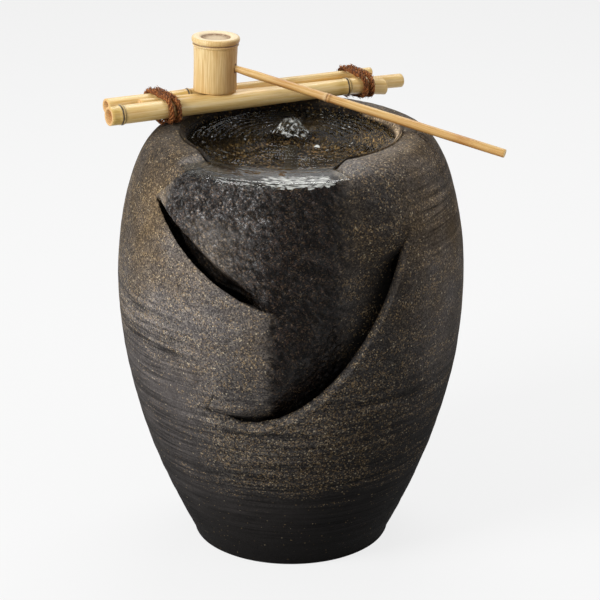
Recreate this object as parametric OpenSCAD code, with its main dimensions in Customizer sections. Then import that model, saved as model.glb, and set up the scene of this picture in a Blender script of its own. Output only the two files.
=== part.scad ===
// Stoneware water fountain: a round jar with a spilling basin on top and a pump inside it,
// a rack of three bamboo canes tied with palm rope across the rim, and a bamboo ladle.
// The origin is the centre of the foot on the ground, +Z is up and the front faces -Y.
// An angle round the jar is measured from the front, positive towards +X.

/* [Jar] */
// Height of the rim above the ground
jar_h = 460; // [455:1:475]
// Largest radius of the jar
belly_r = 187; // [180:1:200]
// Height of the largest radius
belly_z = 295; // [285:1:305]
// Radius of the foot
foot_r = 105; // [98:1:112]
// Rounding of the foot's edge
foot_round = 5; // [3:0.5:8]
// How fast the wall swells above the foot
swell_power = 1.93; // [1.7:0.01:2.2]
// Outer radius of the flat rim
rim_out_r = 131; // [128:0.5:134]
// Inner radius of the flat rim, where the basin is luted in
rim_in_r = 118; // [115:0.5:120]
// Thickness of the jar's wall
jar_wall = 10; // [8:0.5:11]
// Thickness of the jar under the rim
rim_t = 12; // [10:0.5:13]
// Thickness of the jar's floor
floor_t = 12; // [10:0.5:15]

/* [Spill notch] */
// Depth of the notch below the rim
notch_depth = 12; // [9:0.5:13]
// Angle of the notch's left end
notch_left_a = -45; // [-48:0.5:-42]
// Angle of the notch's right end
notch_right_a = 20; // [17:0.5:23]

/* [Left slit] */
// Angle of the slit's upper end
fall_top_a = -56; // [-60:0.5:-54]
// Height of the slit's upper end
fall_top_z = 417; // [412:1:422]
// Angle of the slit's lower end
fall_low_a = -7; // [-10:0.5:-4]
// Height of the slit's lower end
fall_low_z = 321; // [315:1:326]
// Depth of the panel behind the jar's face at the slit
fall_recess = 20; // [19:0.5:23]
// Width over which the panel rolls inwards
fall_roll = 24; // [14:1:24]

/* [Lower slit] */
// Angle of the slit's upper end
slit_top_a = 44; // [41:0.5:46]
// Height of the slit's upper end
slit_top_z = 393; // [386:1:398]
// Angle of the slit's lowest point
slit_low_a = -17; // [-19:0.5:-15]
// Height of the slit's lowest point
slit_low_z = 190; // [186:1:194]
// Angle of the slit's left end
slit_end_a = -29; // [-31:0.5:-28]
// Height of the slit's left end
slit_end_z = 206; // [203:1:210]
// Depth of the panel behind the jar's face at the slit
slit_recess = 18.5; // [18:0.5:20]
// Width over which the panel dips towards the slit
slit_roll = 84; // [60:2:100]
// Width over which it dips at the slit's left end
hook_roll = 14; // [10:1:20]

/* [Fall panel] */
// Thickness of the panel
panel_t = 9; // [7:0.5:11]
// Angle by which the panel tucks in behind the jar's edge
panel_tuck = 5; // [3:0.5:6]
// How far the panel reaches below the lower slit
panel_drop = 13; // [8:1:16]
// Joint between the luted pieces of clay
lute_gap = 0.3; // [0.2:0.05:0.5]

/* [Service window] */
// Width of the window in the back of the jar
window_w = 110; // [90:2:120]
// Height of the window
window_h = 100; // [80:2:110]
// Height of the window's middle above the ground
window_z = 268; // [260:1:285]
// Corner radius of the window
window_round = 15; // [8:1:20]

/* [Basin] */
// Depth of the basin's floor below the rim
basin_depth = 54; // [48:1:60]
// Thickness of the basin's wall
basin_wall = 9; // [7:0.5:11]
// Radius of the basin's flat floor
basin_floor_r = 72; // [60:1:80]
// Radius of the hole in the basin's floor
basin_hole_r = 13; // [11:0.5:16]

/* [Hose] */
// Inner radius of the riser hose
hose_in_r = 6.5; // [5.5:0.25:8]
// Wall of the riser hose
hose_wall = 2; // [1.5:0.25:2.5]
// Length of each spigot inside the hose
spigot_grip = 22; // [14:1:28]
// Clearance of a spigot in the hose
spigot_fit = 0.2; // [0.1:0.05:0.3]
// Wall of each spigot
spigot_wall = 1.7; // [1.2:0.1:2.2]

/* [Jet nozzle] */
// Height of the nozzle's mouth below the rim
nozzle_drop = 20; // [16:1:26]
// Radius of the nozzle's flange
nozzle_flange_r = 12; // [10:0.5:14]
// Thickness of the nozzle's flange
nozzle_flange_t = 4; // [3:0.5:6]
// Radius of the grommet's flanges
grommet_flange_r = 18; // [17:0.5:21]
// Thickness of each grommet flange
grommet_flange_t = 3; // [2:0.5:4]

/* [Pump] */
// Width of the motor housing
pump_w = 48; // [46:1:56]
// Height of the motor housing
pump_h = 52; // [51:1:60]
// Length of the motor housing
pump_len = 38; // [36:1:46]
// Wall of the motor housing
pump_wall = 3; // [2:0.25:3.5]
// Corner radius of the motor housing
pump_round = 6; // [3:0.5:8]
// Height of the rotor's axis above the housing's underside
rotor_rise = 20; // [20:0.5:21]
// Radius of the shaft
shaft_r = 1.15; // [1:0.05:1.5]
// Running clearance of the rotor on its shaft
shaft_fit = 0.06; // [0.03:0.01:0.1]
// Radius of the rotor magnet
magnet_r = 6.7; // [5.5:0.1:7]
// Length of the rotor magnet
magnet_len = 26; // [20:0.5:26]
// Clearance round the magnet in its well
well_fit = 0.8; // [0.5:0.1:1]
// Wall of the rotor well
well_wall = 2; // [1.5:0.1:2.2]
// Radius of the impeller
impeller_r = 11.5; // [9:0.5:12]
// Number of impeller vanes
vane_n = 6; // [4:1:8]
// Outer radius of the pump cover
cover_r = 18; // [17:0.25:18.5]
// Length of the pump cover
cover_len = 22; // [21.5:0.5:24]
// Wall of the pump cover
cover_wall = 3; // [2.5:0.25:3.5]
// Radius of the inlet in the pump cover
inlet_r = 6.5; // [5.5:0.25:8]
// Length of the outlet above the pump cover
outlet_len = 28; // [26:1:36]

/* [Stator] */
// Length of the stator's lamination stack
core_len = 20; // [14:1:22]
// Half width of the lamination stack
core_half_w = 17; // [15.5:0.25:18]
// Height of the coil over the yoke
coil_h = 11; // [9:0.5:11]

/* [Strainer] */
// Width and height of the inlet strainer
strainer_w = 41; // [40:0.5:46]
// Length of the inlet strainer
strainer_len = 22; // [18:1:28]
// Wall of the inlet strainer
strainer_wall = 2; // [1.5:0.25:2.25]
// Overlap of the strainer on the pump cover
strainer_grip = 4; // [3:0.5:5]
// Clearance of the strainer on the pump cover
strainer_fit = 0.3; // [0.2:0.05:0.5]
// Number of slots on each side of the flow dial
slot_n = 3; // [2:1:3]
// Width of a slot
slot_w = 2; // [1.5:0.1:2.4]
// Radius of the flow dial
dial_r = 7; // [5:0.25:7.5]
// Thickness of the flow dial
dial_t = 3.5; // [2.5:0.25:5]
// Radius of the flow dial's stem
dial_stem_r = 2.5; // [2:0.1:3]

/* [Pump feet] */
// Radius of a suction foot
foot_cup_r = 7; // [5:0.25:7.5]
// Height of a suction foot
foot_cup_h = 4; // [4:0.5:6]

/* [Rack] */
// Angle on the rim where the left lashing sits
rack_a = -102; // [-106:0.5:-98]
// Turn of the canes from the X axis
rack_yaw = 30; // [27:0.5:32]
// Length of the front cane to its bend
front_len = 297; // [292:1:302]
// Length of the front cane past its bend
front_tip_len = 44; // [38:1:50]
// Drop of the front cane past its bend
front_bend = 8; // [5:0.5:9]
// Diameter of the front cane's left end
front_d0 = 20.6; // [19:0.1:22]
// Diameter of the front cane at its bend
front_d1 = 18.6; // [17.6:0.1:19]
// Diameter of the front cane past its bend
front_tip_d = 17.6; // [16.5:0.1:18]
// Overhang of the front cane left of the rim
front_over = 80; // [74:1:86]
// Diameter of the middle cane's left end
middle_d0 = 9.5; // [8.5:0.1:10]
// Diameter of the middle cane's right end
middle_d1 = 15.6; // [14:0.1:16]
// Length of the middle cane
middle_len = 331; // [322:1:338]
// How far right of the front cane's left end the middle cane starts
middle_inset = 44; // [40:1:48]
// Drop of the middle cane's right end below the top of the rack
middle_sink = 8; // [7:0.25:9]
// Diameter of the back cane's left end
back_d0 = 17; // [15:0.1:17.4]
// Diameter of the back cane's right end
back_d1 = 10.4; // [9:0.1:11]
// Length of the back cane
back_len = 330; // [322:1:336]
// How far right of the front cane's left end the back cane starts
back_inset = 12; // [9:1:15]
// Distance from the left lashing to the back cane's node
back_node_s = 30; // [24:1:33]
// How far a cane swells at a node
node_swell = 1.1; // [0.6:0.1:1.3]
// Wall of a cane at its open ends
cane_wall = 2.8; // [2:0.1:3.2]
// Depth of the open hollow in a cane's end
cane_hollow = 13; // [8:0.5:14]
// Gap between neighbouring canes
cane_gap = 0.4; // [0.3:0.05:0.8]

/* [Lashings] */
// Diameter of the palm rope
rope_d = 4; // [3.2:0.1:4.4]
// Number of turns in each lashing
lash_turns = 4; // [3:1:4]
// Gap between neighbouring turns
turn_gap = 0.7; // [0.5:0.05:0.8]
// Gap between the rope and the canes
wrap_gap = 0.6; // [0.55:0.05:0.8]
// Gap between what rests on the rim and the rim
seat_gap = 0.35; // [0.3:0.05:0.6]
// Distance from the left lashing to the right lashing
lash_span = 235; // [234:0.5:238]

/* [Ladle] */
// Height of the cup
cup_h = 59.5; // [52:0.5:66]
// Radius of the cup's wall
cup_r = 23.6; // [22:0.1:25]
// Thickness of the cup's wall
cup_wall = 3.4; // [2.5:0.1:4]
// Radius of the cup's node ring
cup_ring_r = 26.2; // [25.5:0.1:27]
// Distance along the rack from the left lashing to the cup
cup_s = 55.5; // [50:0.5:62]
// Height of the handle's axis above the cup's mouth
handle_rise = 30; // [22:0.5:30]
// Length of the handle from the cup's axis to its free end
handle_len = 331; // [300:1:340]
// Diameter of the handle's grip
handle_d = 10; // [9:0.1:10.6]
// Diameter of the handle's tenon in the cup
tenon_d = 7.4; // [6.5:0.1:8]
// Angle on the rim where the handle rests
handle_a = 86; // [84:0.5:96]
// Clearance of the tenon in the cup's wall
tenon_fit = 0.2; // [0.1:0.05:0.3]
// Radius of the handle's peg
peg_r = 1.1; // [0.9:0.05:1.3]

/* [Hidden] */

round_fn = 96;
weir_z = jar_h - notch_depth;
lute_a = lute_gap / belly_r * 180 / PI;
mm_per_deg = PI / 180;

function smooth(t) = let (c = min(1, max(0, t))) c * c * (3 - 2 * c);
function ramp(t) = min(1, max(0, t));
function mix(a, b, t) = a + (b - a) * t;
function around(r, a, z) = [r * sin(a), -r * cos(a), z];

// Outer radius of the jar at a height
function jar_r(z) = z < belly_z
    ? foot_r + (belly_r - foot_r) * (1 - pow(1 - z / belly_z, swell_power))
    : rim_out_r + (belly_r - rim_out_r)
        * sqrt(max(0, 1 - pow((z - belly_z) / (jar_h - belly_z), 2)));

foot_arc = [for (a = [0 : 22.5 : 67.5])
    [jar_r(foot_round) - foot_round * (1 - sin(a)), foot_round * (1 - cos(a))]];
swell_steps = 14;
shoulder_steps = 13;
swell_out = [for (i = [0 : swell_steps])
    let (z = mix(foot_round, belly_z, i / swell_steps)) [jar_r(z), z]];
shoulder_out = [for (i = [1 : shoulder_steps]) let (a = 90 * i / shoulder_steps)
    [rim_out_r + (belly_r - rim_out_r) * cos(a), belly_z + (jar_h - belly_z) * sin(a)]];
shoulder_in = [for (i = [shoulder_steps : -1 : 1]) let (a = 90 * i / shoulder_steps)
    [rim_out_r + (belly_r - jar_wall - rim_out_r) * cos(a),
        belly_z + (jar_h - rim_t - belly_z) * sin(a)]];
swell_in = [for (i = [swell_steps : -1 : 0])
    let (z = mix(floor_t, belly_z, i / swell_steps)) [jar_r(z) - jar_wall, z]];
jar_profile = concat([[0, 0]], foot_arc, swell_out, shoulder_out,
    [[rim_in_r, jar_h], [rim_in_r, jar_h - rim_t]], shoulder_in, swell_in, [[0, floor_t]]);

// Outline of the front window, which the fall panel fills: its left and right edge at a height
fall_curve = 1.35;
slit_curve = 0.47;
hook_curve = 0.6;
function fall_u(z) = pow(ramp((z - fall_low_z) / (fall_top_z - fall_low_z)), 1 / fall_curve);
function bridge_a(z) = mix(slit_end_a, fall_low_a,
    ramp((z - slit_end_z) / (fall_low_z - slit_end_z)));
function left_a(z) = z < slit_end_z
    ? mix(slit_low_a, slit_end_a,
        pow(ramp((z - slit_low_z) / (slit_end_z - slit_low_z)), hook_curve))
    : z < fall_low_z ? bridge_a(z)
    : z < fall_top_z ? mix(fall_low_a, fall_top_a, fall_u(z))
    : mix(fall_top_a, notch_left_a, (z - fall_top_z) / (weir_z - fall_top_z));
function right_a(z) = z < slit_top_z
    ? mix(slit_low_a, slit_top_a,
        pow(ramp((z - slit_low_z) / (slit_top_z - slit_low_z)), slit_curve))
    : mix(slit_top_a, notch_right_a, (z - slit_top_z) / (weir_z - slit_top_z));

// Depth of the panel's face behind the jar's face
function fall_depth(a, z) = let (u = (fall_low_a - a) / (fall_low_a - fall_top_a),
        edge_z = mix(fall_low_z, fall_top_z, pow(ramp(u), fall_curve)))
    u <= 0 || u >= 1 || z < fall_low_z ? 0
    : fall_recess * smooth(u / 0.25) * smooth((1 - u) / 0.15) * (1 - smooth((z - edge_z) / fall_roll));
function slit_edge_z(a) = a > slit_low_a
    ? mix(slit_low_z, slit_top_z,
        pow((a - slit_low_a) / (slit_top_a - slit_low_a), 1 / slit_curve))
    : mix(slit_low_z, slit_end_z,
        pow(ramp((slit_low_a - a) / (slit_low_a - slit_end_a)), 1 / hook_curve));
function slit_dist(a, z) = let (side = (right_a(z) - a) * mm_per_deg * jar_r(z),
        up = z - slit_edge_z(a))
    side <= 0 || up <= 0 ? 0 : a < slit_low_a ? up : 1 / sqrt(1 / (side * side) + 1 / (up * up));
roll_start_a = slit_end_a + 4;
roll_run_a = 60;
function dip_roll(a) = mix(hook_roll, slit_roll, smooth((a - roll_start_a) / roll_run_a));
function slit_depth(a, z) = slit_recess * smooth((slit_top_z - z) / 45)
    * smooth((a - bridge_a(z)) / 12) * (1 - smooth(slit_dist(a, z) / dip_roll(a)));
function panel_depth(a, z) = max(fall_depth(a, z), slit_depth(a, z));

// Edges of the panel, which tuck in behind the jar where the slits are open
panel_low_z = slit_low_z - panel_drop;
tuck_start = 0.2;
tuck_stop = 0.9;
hook_keep = 3;
hook_top_z = slit_low_z + 60;
tuck_low_z = slit_top_z - 38;
tuck_run = 36;
function fall_tuck_a(z) = let (u = fall_u(z))
    u < tuck_start || u > tuck_stop ? left_a(z) + lute_a
    : max(left_a(z) + lute_a - (panel_tuck + lute_a) * ramp((u - tuck_start) / 0.1),
        mix(fall_low_a, fall_top_a, tuck_stop));
function panel_left(z) = z < slit_low_z + 2
    ? slit_low_a - hook_keep + (slit_low_z + 2 - z) * 0.3
    : z > fall_low_z && z < fall_top_z ? fall_tuck_a(z) : left_a(z) + lute_a;
function panel_right(z) = z > slit_top_z ? right_a(z) - lute_a
    : max(mix(slit_low_a, slit_top_a,
            pow(ramp((z - panel_low_z) / (slit_top_z - slit_low_z)), slit_curve))
            * (z < hook_top_z ? 1 : 0) + (z < hook_top_z ? 0 : slit_end_a),
        right_a(z) - lute_a + (panel_tuck + 1) * ramp((tuck_low_z - z) / tuck_run));

// Heights of the window's corners and of the panel's rows
window_rows = concat([for (k = [0 : 4]) mix(slit_low_z, slit_end_z, pow(k / 4, 1.7))],
    [for (k = [1 : 8]) mix(slit_end_z, fall_low_z, k / 8)],
    [for (k = [1 : 11]) mix(fall_low_z, fall_top_z, pow(k / 11, 1.5))],
    [for (k = [1 : 4]) mix(fall_top_z, weir_z - 2, k / 4)]);
window_outline = concat([for (z = window_rows) [jar_r(z) * sin(left_a(z)), z]],
    [[jar_r(weir_z) * sin(notch_left_a), weir_z], [jar_r(weir_z) * sin(notch_right_a), weir_z]],
    [for (i = [len(window_rows) - 1 : -1 : 1]) let (z = window_rows[i])
        [jar_r(z) * sin(right_a(z)), z]]);

panel_cols = 26;
weir_lip = [[3, 0.5, 62], [7, 0, 76], [17, 0, 90]];
tilt_start_z = weir_z - 48;
function face_tilt(z) = 52 * ramp((z - tilt_start_z) / (weir_z - tilt_start_z));
function column_t(k) = let (t = k / panel_cols) t - 0.09 * sin(360 * t);
panel_face = concat(
    [for (z = concat([panel_low_z, panel_low_z + panel_drop / 2], window_rows))
        [for (k = [0 : panel_cols]) let (a = mix(panel_left(z), panel_right(z), column_t(k)))
            [jar_r(z) - panel_depth(a, z), a, z, face_tilt(z)]]],
    [for (lip = weir_lip) [for (k = [0 : panel_cols])
        [jar_r(weir_z) - lip[0], mix(notch_left_a + lute_a, notch_right_a - lute_a, column_t(k)),
            weir_z - lip[1], lip[2]]]],
    [[for (k = [0 : panel_cols])
        [rim_in_r + lute_gap, mix(notch_left_a + lute_a, notch_right_a - lute_a, column_t(k)),
            weir_z, 90]]]);
panel_rows = len(panel_face);
panel_row_pts = panel_cols + 1;
panel_layer = panel_rows * panel_row_pts;
function panel_i(layer, row, col) = layer * panel_layer + row * panel_row_pts + col;
panel_pts = concat(
    [for (row = panel_face) for (p = row) around(p[0], p[1], p[2])],
    [for (row = panel_face) for (p = row)
        around(p[0] - panel_t * cos(p[3]), p[1], p[2] - panel_t * sin(p[3]))]);
function quad(a, b, c, d) = [[a, b, c], [a, c, d]];
panel_faces = [for (q = concat(
    [for (r = [0 : panel_rows - 2]) for (c = [0 : panel_cols - 1]) for (t = quad(
        panel_i(0, r, c), panel_i(0, r + 1, c), panel_i(0, r + 1, c + 1), panel_i(0, r, c + 1))) t],
    [for (r = [0 : panel_rows - 2]) for (c = [0 : panel_cols - 1]) for (t = quad(
        panel_i(1, r, c), panel_i(1, r, c + 1), panel_i(1, r + 1, c + 1), panel_i(1, r + 1, c))) t],
    [for (r = [0 : panel_rows - 2]) for (t = quad(
        panel_i(0, r, 0), panel_i(1, r, 0), panel_i(1, r + 1, 0), panel_i(0, r + 1, 0))) t],
    [for (r = [0 : panel_rows - 2]) for (t = quad(
        panel_i(0, r, panel_cols), panel_i(0, r + 1, panel_cols),
        panel_i(1, r + 1, panel_cols), panel_i(1, r, panel_cols))) t],
    [for (c = [0 : panel_cols - 1]) for (t = quad(
        panel_i(0, 0, c), panel_i(0, 0, c + 1), panel_i(1, 0, c + 1), panel_i(1, 0, c))) t],
    [for (c = [0 : panel_cols - 1]) for (t = quad(
        panel_i(0, panel_rows - 1, c), panel_i(1, panel_rows - 1, c),
        panel_i(1, panel_rows - 1, c + 1), panel_i(0, panel_rows - 1, c + 1))) t])) q];

// Basin
basin_floor_z = jar_h - basin_depth;
basin_seam_r = rim_in_r - lute_gap;
basin_inside = [[rim_in_r - 3, jar_h - 0.8], [rim_in_r - 6, jar_h - 4], [rim_in_r - 8, jar_h - 12],
    [rim_in_r - 11, mix(jar_h, basin_floor_z, 0.55)], [rim_in_r - 17, mix(jar_h, basin_floor_z, 0.82)],
    [mix(rim_in_r, basin_floor_r, 0.7), mix(jar_h, basin_floor_z, 0.97)],
    [basin_floor_r, basin_floor_z]];
basin_outside = [[basin_floor_r, basin_floor_z - basin_wall],
    [mix(rim_in_r, basin_floor_r, 0.62), basin_floor_z - basin_wall + 3],
    [rim_in_r - 8, mix(jar_h, basin_floor_z, 0.86)],
    [basin_seam_r, mix(jar_h, basin_floor_z, 0.58)]];
basin_profile = concat([[basin_seam_r, jar_h]], basin_inside, [[basin_hole_r, basin_floor_z],
    [basin_hole_r, basin_floor_z - basin_wall]], basin_outside);

// Pump places: the rotor's axis runs along Y and the outlet stands on the jar's axis
pump_floor_z = floor_t + foot_cup_h;
rotor_z = pump_floor_z + rotor_rise;
cover_back_y = hose_in_r + hose_wall + 0.5;
cover_front_y = cover_back_y - cover_len;
housing_end_y = cover_back_y + pump_len;
well_r = magnet_r + well_fit;
bush_len = 2.5;
magnet_y = cover_back_y + 1;
well_end_y = magnet_y + magnet_len + 0.5 + bush_len;
spigot_r = hose_in_r - spigot_fit;
spigot_bore_r = spigot_r - spigot_wall;
outlet_top_z = rotor_z + cover_r + outlet_len;
hose_low_z = outlet_top_z - spigot_grip;
hose_high_z = basin_floor_z - basin_wall - grommet_flange_t - 1;
hose_out_r = hose_in_r + hose_wall;
cap_t = 3;
gland_r = 5.5;
gland_bore_r = 2.7;
core_y = cover_back_y + 8;
core_leg = 6;
yoke_top = pump_floor_z + pump_h - pump_wall - rotor_z - 3;
yoke_h = 6;

// Rack places: the rack's own frame has X along the canes, Y across them to the back,
// and its top plane through the highest line of the canes
turn_pitch = rope_d + turn_gap;
lash_drop = rope_d + wrap_gap;
rack_start = around((rim_out_r + rim_in_r) / 2, rack_a, 0);
rack_dir = [cos(rack_yaw), sin(rack_yaw)];
start_along = rack_start[0] * rack_dir[0] + rack_start[1] * rack_dir[1];
start_r2 = rack_start[0] * rack_start[0] + rack_start[1] * rack_start[1];
rest_s = -start_along + sqrt(start_along * start_along - start_r2 + rim_out_r * rim_out_r);
function front_d(s) = mix(front_d0, front_d1, (s + front_over) / front_len);
rest_slope = (lash_drop + front_d(0) - front_d(rest_s)) / rest_s;
lash_lift = lash_turns * turn_pitch / 2 * rest_slope;
rack_tilt = atan(rest_slope + lash_lift / rest_s);
rack_top_z = jar_h + seat_gap + lash_lift + lash_drop + front_d(0);
bend_s = front_len - front_over;
middle_s = middle_inset - front_over;
back_s = back_inset - front_over;
function front_r_at(s) = s < bend_s ? front_d(s) / 2 : front_tip_d / 2;
function front_w_at(s) = s < bend_s ? -front_d(s) / 2
    : -front_d1 / 2 - tan(front_bend) * (s - bend_s);
function middle_r_at(s) = mix(middle_d0, middle_d1, (s - middle_s) / middle_len) / 2;
middle_w0 = -middle_d0 / 2;
middle_w1 = -middle_d1 / 2 - middle_sink;
middle_n0 = front_d(middle_s) / 2 + middle_d0 / 2 + cane_gap;
bend_n = front_d1 / 2 + node_swell + middle_r_at(bend_s) + cane_gap;
middle_n1 = middle_n0 + (bend_n - middle_n0) * middle_len / (bend_s - middle_s);
function middle_n_at(s) = mix(middle_n0, middle_n1, (s - middle_s) / middle_len);
function middle_w_at(s) = mix(middle_w0, middle_w1, (s - middle_s) / middle_len);
function back_r_at(s) = mix(back_d0, back_d1, (s - back_s) / back_len) / 2;
back_n = middle_n_at(back_node_s) + middle_r_at(back_node_s) + back_r_at(back_node_s)
    + node_swell + cane_gap + 0.6;

// A cane's outline round its axis, with its nodes, as radius and length
function cane_outline(len, d0, d1, nodes) = concat([[0, 0], [d0 / 2 - 0.6, 0], [d0 / 2, 0.6]],
    [for (p = nodes) for (q = [[-5, 0], [-1.6, 0.9], [0, 1], [0.8, 0.45], [4, 0]])
        [mix(d0, d1, (p + q[0]) / len) / 2 + q[1] * node_swell, p + q[0]]],
    [[d1 / 2, len - 0.6], [d1 / 2 - 0.6, len], [0, len]]);

// Rope paths: the rope runs round the hull of the three canes while it steps along them
turn_pts = 24;
rope_r = rope_d / 2;
function canes_at(s) = [[0, front_w_at(s), front_r_at(s)],
    [middle_n_at(s), middle_w_at(s), middle_r_at(s)], [back_n, -back_r_at(s), back_r_at(s)]];
function reach(c, dir) = c[0] * dir[0] + c[1] * dir[1] + c[2];
function hull_point(s, dir) = let (c = canes_at(s), h = [for (k = c) reach(k, dir)],
        m = max(h), k = h[0] == m ? c[0] : h[1] == m ? c[1] : c[2],
        r = k[2] + wrap_gap + rope_r)
    [s, k[0] + r * dir[0], k[1] + r * dir[1]];
function wind_path(mid_s) = [for (i = [0 : lash_turns * turn_pts])
    let (a = 270 + 360 * i / turn_pts,
        s = mid_s + turn_pitch * (i / turn_pts - lash_turns / 2))
    hull_point(s, [cos(a), sin(a)])];
function unit(v) = v / norm(v);
function with_ends(p) = concat([p[0] - [0, rope_d, 0]], p, [p[len(p) - 1] + [0, rope_d, 0]]);
rope_sides = 6;
function rope_points(p) = let (n = len(p)) [for (i = [0 : n - 1])
    let (t = unit(p[min(n - 1, i + 1)] - p[max(0, i - 1)]), side = unit(cross(t, [1, 0, 0])),
        up = cross(side, t))
    for (k = [0 : rope_sides - 1]) let (a = 360 * k / rope_sides)
        p[i] + rope_r * (cos(a) * side + sin(a) * up)];
function rope_faces(n) = concat(
    [for (k = [1 : rope_sides - 2]) [0, k, k + 1]],
    [for (i = [0 : n - 2]) for (k = [0 : rope_sides - 1])
        let (a = i * rope_sides + k, b = i * rope_sides + (k + 1) % rope_sides)
        for (t = quad(a, a + rope_sides, b + rope_sides, b)) t],
    [for (k = [1 : rope_sides - 2]) let (e = (n - 1) * rope_sides) [e, e + k + 1, e + k]]);
function path_gap(p) = let (n = len(p), skip = turn_pts / 2) min([for (i = [0 : n - 1 - skip])
    for (j = [i + skip : min(n - 1, i + turn_pts + skip)]) norm(p[j] - p[i])]) - rope_d;
left_path = with_ends(wind_path(0));
right_path = with_ends(wind_path(lash_span));
echo(lashing_left_gap = path_gap(left_path), lashing_right_gap = path_gap(right_path));

// Ladle places
cup_n = back_n * 0.54;
cup_in_r = cup_r - cup_wall;
function rack_point(v) = let (x = v[0] * cos(rack_tilt) + v[2] * sin(rack_tilt),
        z = v[2] * cos(rack_tilt) - v[0] * sin(rack_tilt))
    [rack_start[0] + x * cos(rack_yaw) - v[1] * sin(rack_yaw),
        rack_start[1] + x * sin(rack_yaw) + v[1] * cos(rack_yaw), rack_top_z + z];
cup_centre = rack_point([cup_s, cup_n, handle_rise + seat_gap]);
rim_guess = around(rim_out_r, handle_a, jar_h + handle_d / 2);
handle_fall = (cup_centre[2] - rim_guess[2])
    / norm([rim_guess[0] - cup_centre[0], rim_guess[1] - cup_centre[1]]);
seat_t = handle_fall * (belly_r - rim_out_r) / (jar_h - belly_z);
handle_seat = around(rim_out_r + seat_t * (belly_r - rim_out_r), handle_a,
    belly_z + (jar_h - belly_z) * sqrt(1 - seat_t * seat_t) + seat_gap
    + handle_d / 2 * sqrt(1 + handle_fall * handle_fall) + 0.1);
handle_dir = handle_seat - cup_centre;
handle_yaw = atan2(handle_dir[1], handle_dir[0]);
handle_pitch = asin(-handle_dir[2] / norm(handle_dir));
tenon_tip = -(cup_in_r - 0.4) / cos(handle_pitch) + tenon_d / 2 * tan(handle_pitch);
peg_x = cup_in_r - 3;

module rounded_rect(w, h, r) {
    square([w - 2 * r, h], center = true);
    square([w, h - 2 * r], center = true);
    for (x = [-1, 1], y = [-1, 1])
        translate([x * (w / 2 - r), y * (h / 2 - r)])
            circle(r = r, $fn = 32);
}

// A shape drawn in X and Z, run from one Y to another
module along_y(y0, y1) {
    translate([0, y1, 0])
        rotate([90, 0, 0])
            linear_extrude(height = y1 - y0)
                children();
}

module rod_y(r, y0, y1, z = rotor_z) {
    translate([0, y1, z])
        rotate([90, 0, 0])
            cylinder(r = r, h = y1 - y0, $fn = 48);
}

module ring_y(r_out, r_in, y0, y1) {
    difference() {
        rod_y(r_out, y0, y1);
        rod_y(r_in, y0 - 1, y1 + 1);
    }
}

module notch_wedge() {
    far = belly_r + 20;
    translate([0, 0, weir_z])
        linear_extrude(height = notch_depth + 5)
            polygon([[0, 0], for (a = [notch_left_a, mix(notch_left_a, notch_right_a, 0.33),
                mix(notch_left_a, notch_right_a, 0.67), notch_right_a]) [far * sin(a), -far * cos(a)]]);
}

module fall_window() {
    along_y(-belly_r - 20, -rim_out_r / 2)
        polygon(window_outline);
}

module service_window() {
    along_y(belly_r / 2, belly_r + 20)
        translate([0, window_z])
            rounded_rect(window_w, window_h, window_round);
}

module jar_body() {
    color("#4b463b")
        difference() {
            rotate_extrude($fn = round_fn)
                polygon(jar_profile);
            fall_window();
            notch_wedge();
            service_window();
        }
}

module basin_bowl() {
    color("#2f2f2c")
        difference() {
            rotate_extrude($fn = round_fn)
                polygon(basin_profile);
            notch_wedge();
        }
}

module fall_panel() {
    color("#5a5548")
        polyhedron(points = panel_pts, faces = panel_faces, convexity = 8);
}

module basin_grommet() {
    neck_r = basin_hole_r - 0.2;
    low_z = basin_floor_z - basin_wall - 0.2;
    high_z = basin_floor_z + 0.2;
    color("#1c1c1c")
        rotate_extrude($fn = 64)
            polygon([[hose_in_r + 0.3, low_z - grommet_flange_t], [grommet_flange_r - 1, low_z
                - grommet_flange_t], [grommet_flange_r, low_z - 1], [grommet_flange_r, low_z],
                [neck_r, low_z], [neck_r, high_z], [grommet_flange_r, high_z],
                [grommet_flange_r, high_z + 1], [grommet_flange_r - 1, high_z + grommet_flange_t],
                [hose_in_r + 0.3, high_z + grommet_flange_t]]);
}

module jet_nozzle() {
    flange_z = basin_floor_z + 0.2 + grommet_flange_t;
    mouth_z = jar_h - nozzle_drop;
    color("#20242a")
        rotate_extrude($fn = 64)
            polygon([[spigot_bore_r, hose_high_z - spigot_grip], [spigot_r - 0.5, hose_high_z
                - spigot_grip], [spigot_r, hose_high_z - spigot_grip + 2], [spigot_r, flange_z],
                [nozzle_flange_r, flange_z], [nozzle_flange_r, flange_z + nozzle_flange_t - 1],
                [nozzle_flange_r - 1, flange_z + nozzle_flange_t],
                [spigot_r + 0.8, flange_z + nozzle_flange_t], [spigot_r - 0.4, mouth_z],
                [spigot_bore_r - 0.6, mouth_z], [spigot_bore_r, flange_z]]);
}

module riser_hose() {
    color("#9aa7a0", 0.8)
        translate([0, 0, hose_low_z])
            difference() {
                cylinder(r = hose_out_r, h = hose_high_z - hose_low_z, $fn = 48);
                translate([0, 0, -1])
                    cylinder(r = hose_in_r, h = hose_high_z - hose_low_z + 2, $fn = 48);
            }
}

module pump_housing() {
    color("#22252a")
        difference() {
            along_y(cover_back_y, housing_end_y)
                translate([0, pump_floor_z + pump_h / 2])
                    rounded_rect(pump_w, pump_h, pump_round);
            difference() {
                along_y(cover_back_y + pump_wall, housing_end_y + 1)
                    translate([0, pump_floor_z + pump_h / 2])
                        rounded_rect(pump_w - 2 * pump_wall, pump_h - 2 * pump_wall,
                            max(1, pump_round - pump_wall));
                rod_y(well_r + well_wall, cover_back_y, well_end_y + well_wall);
            }
            rod_y(well_r, cover_back_y - 1, well_end_y);
        }
}

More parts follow.
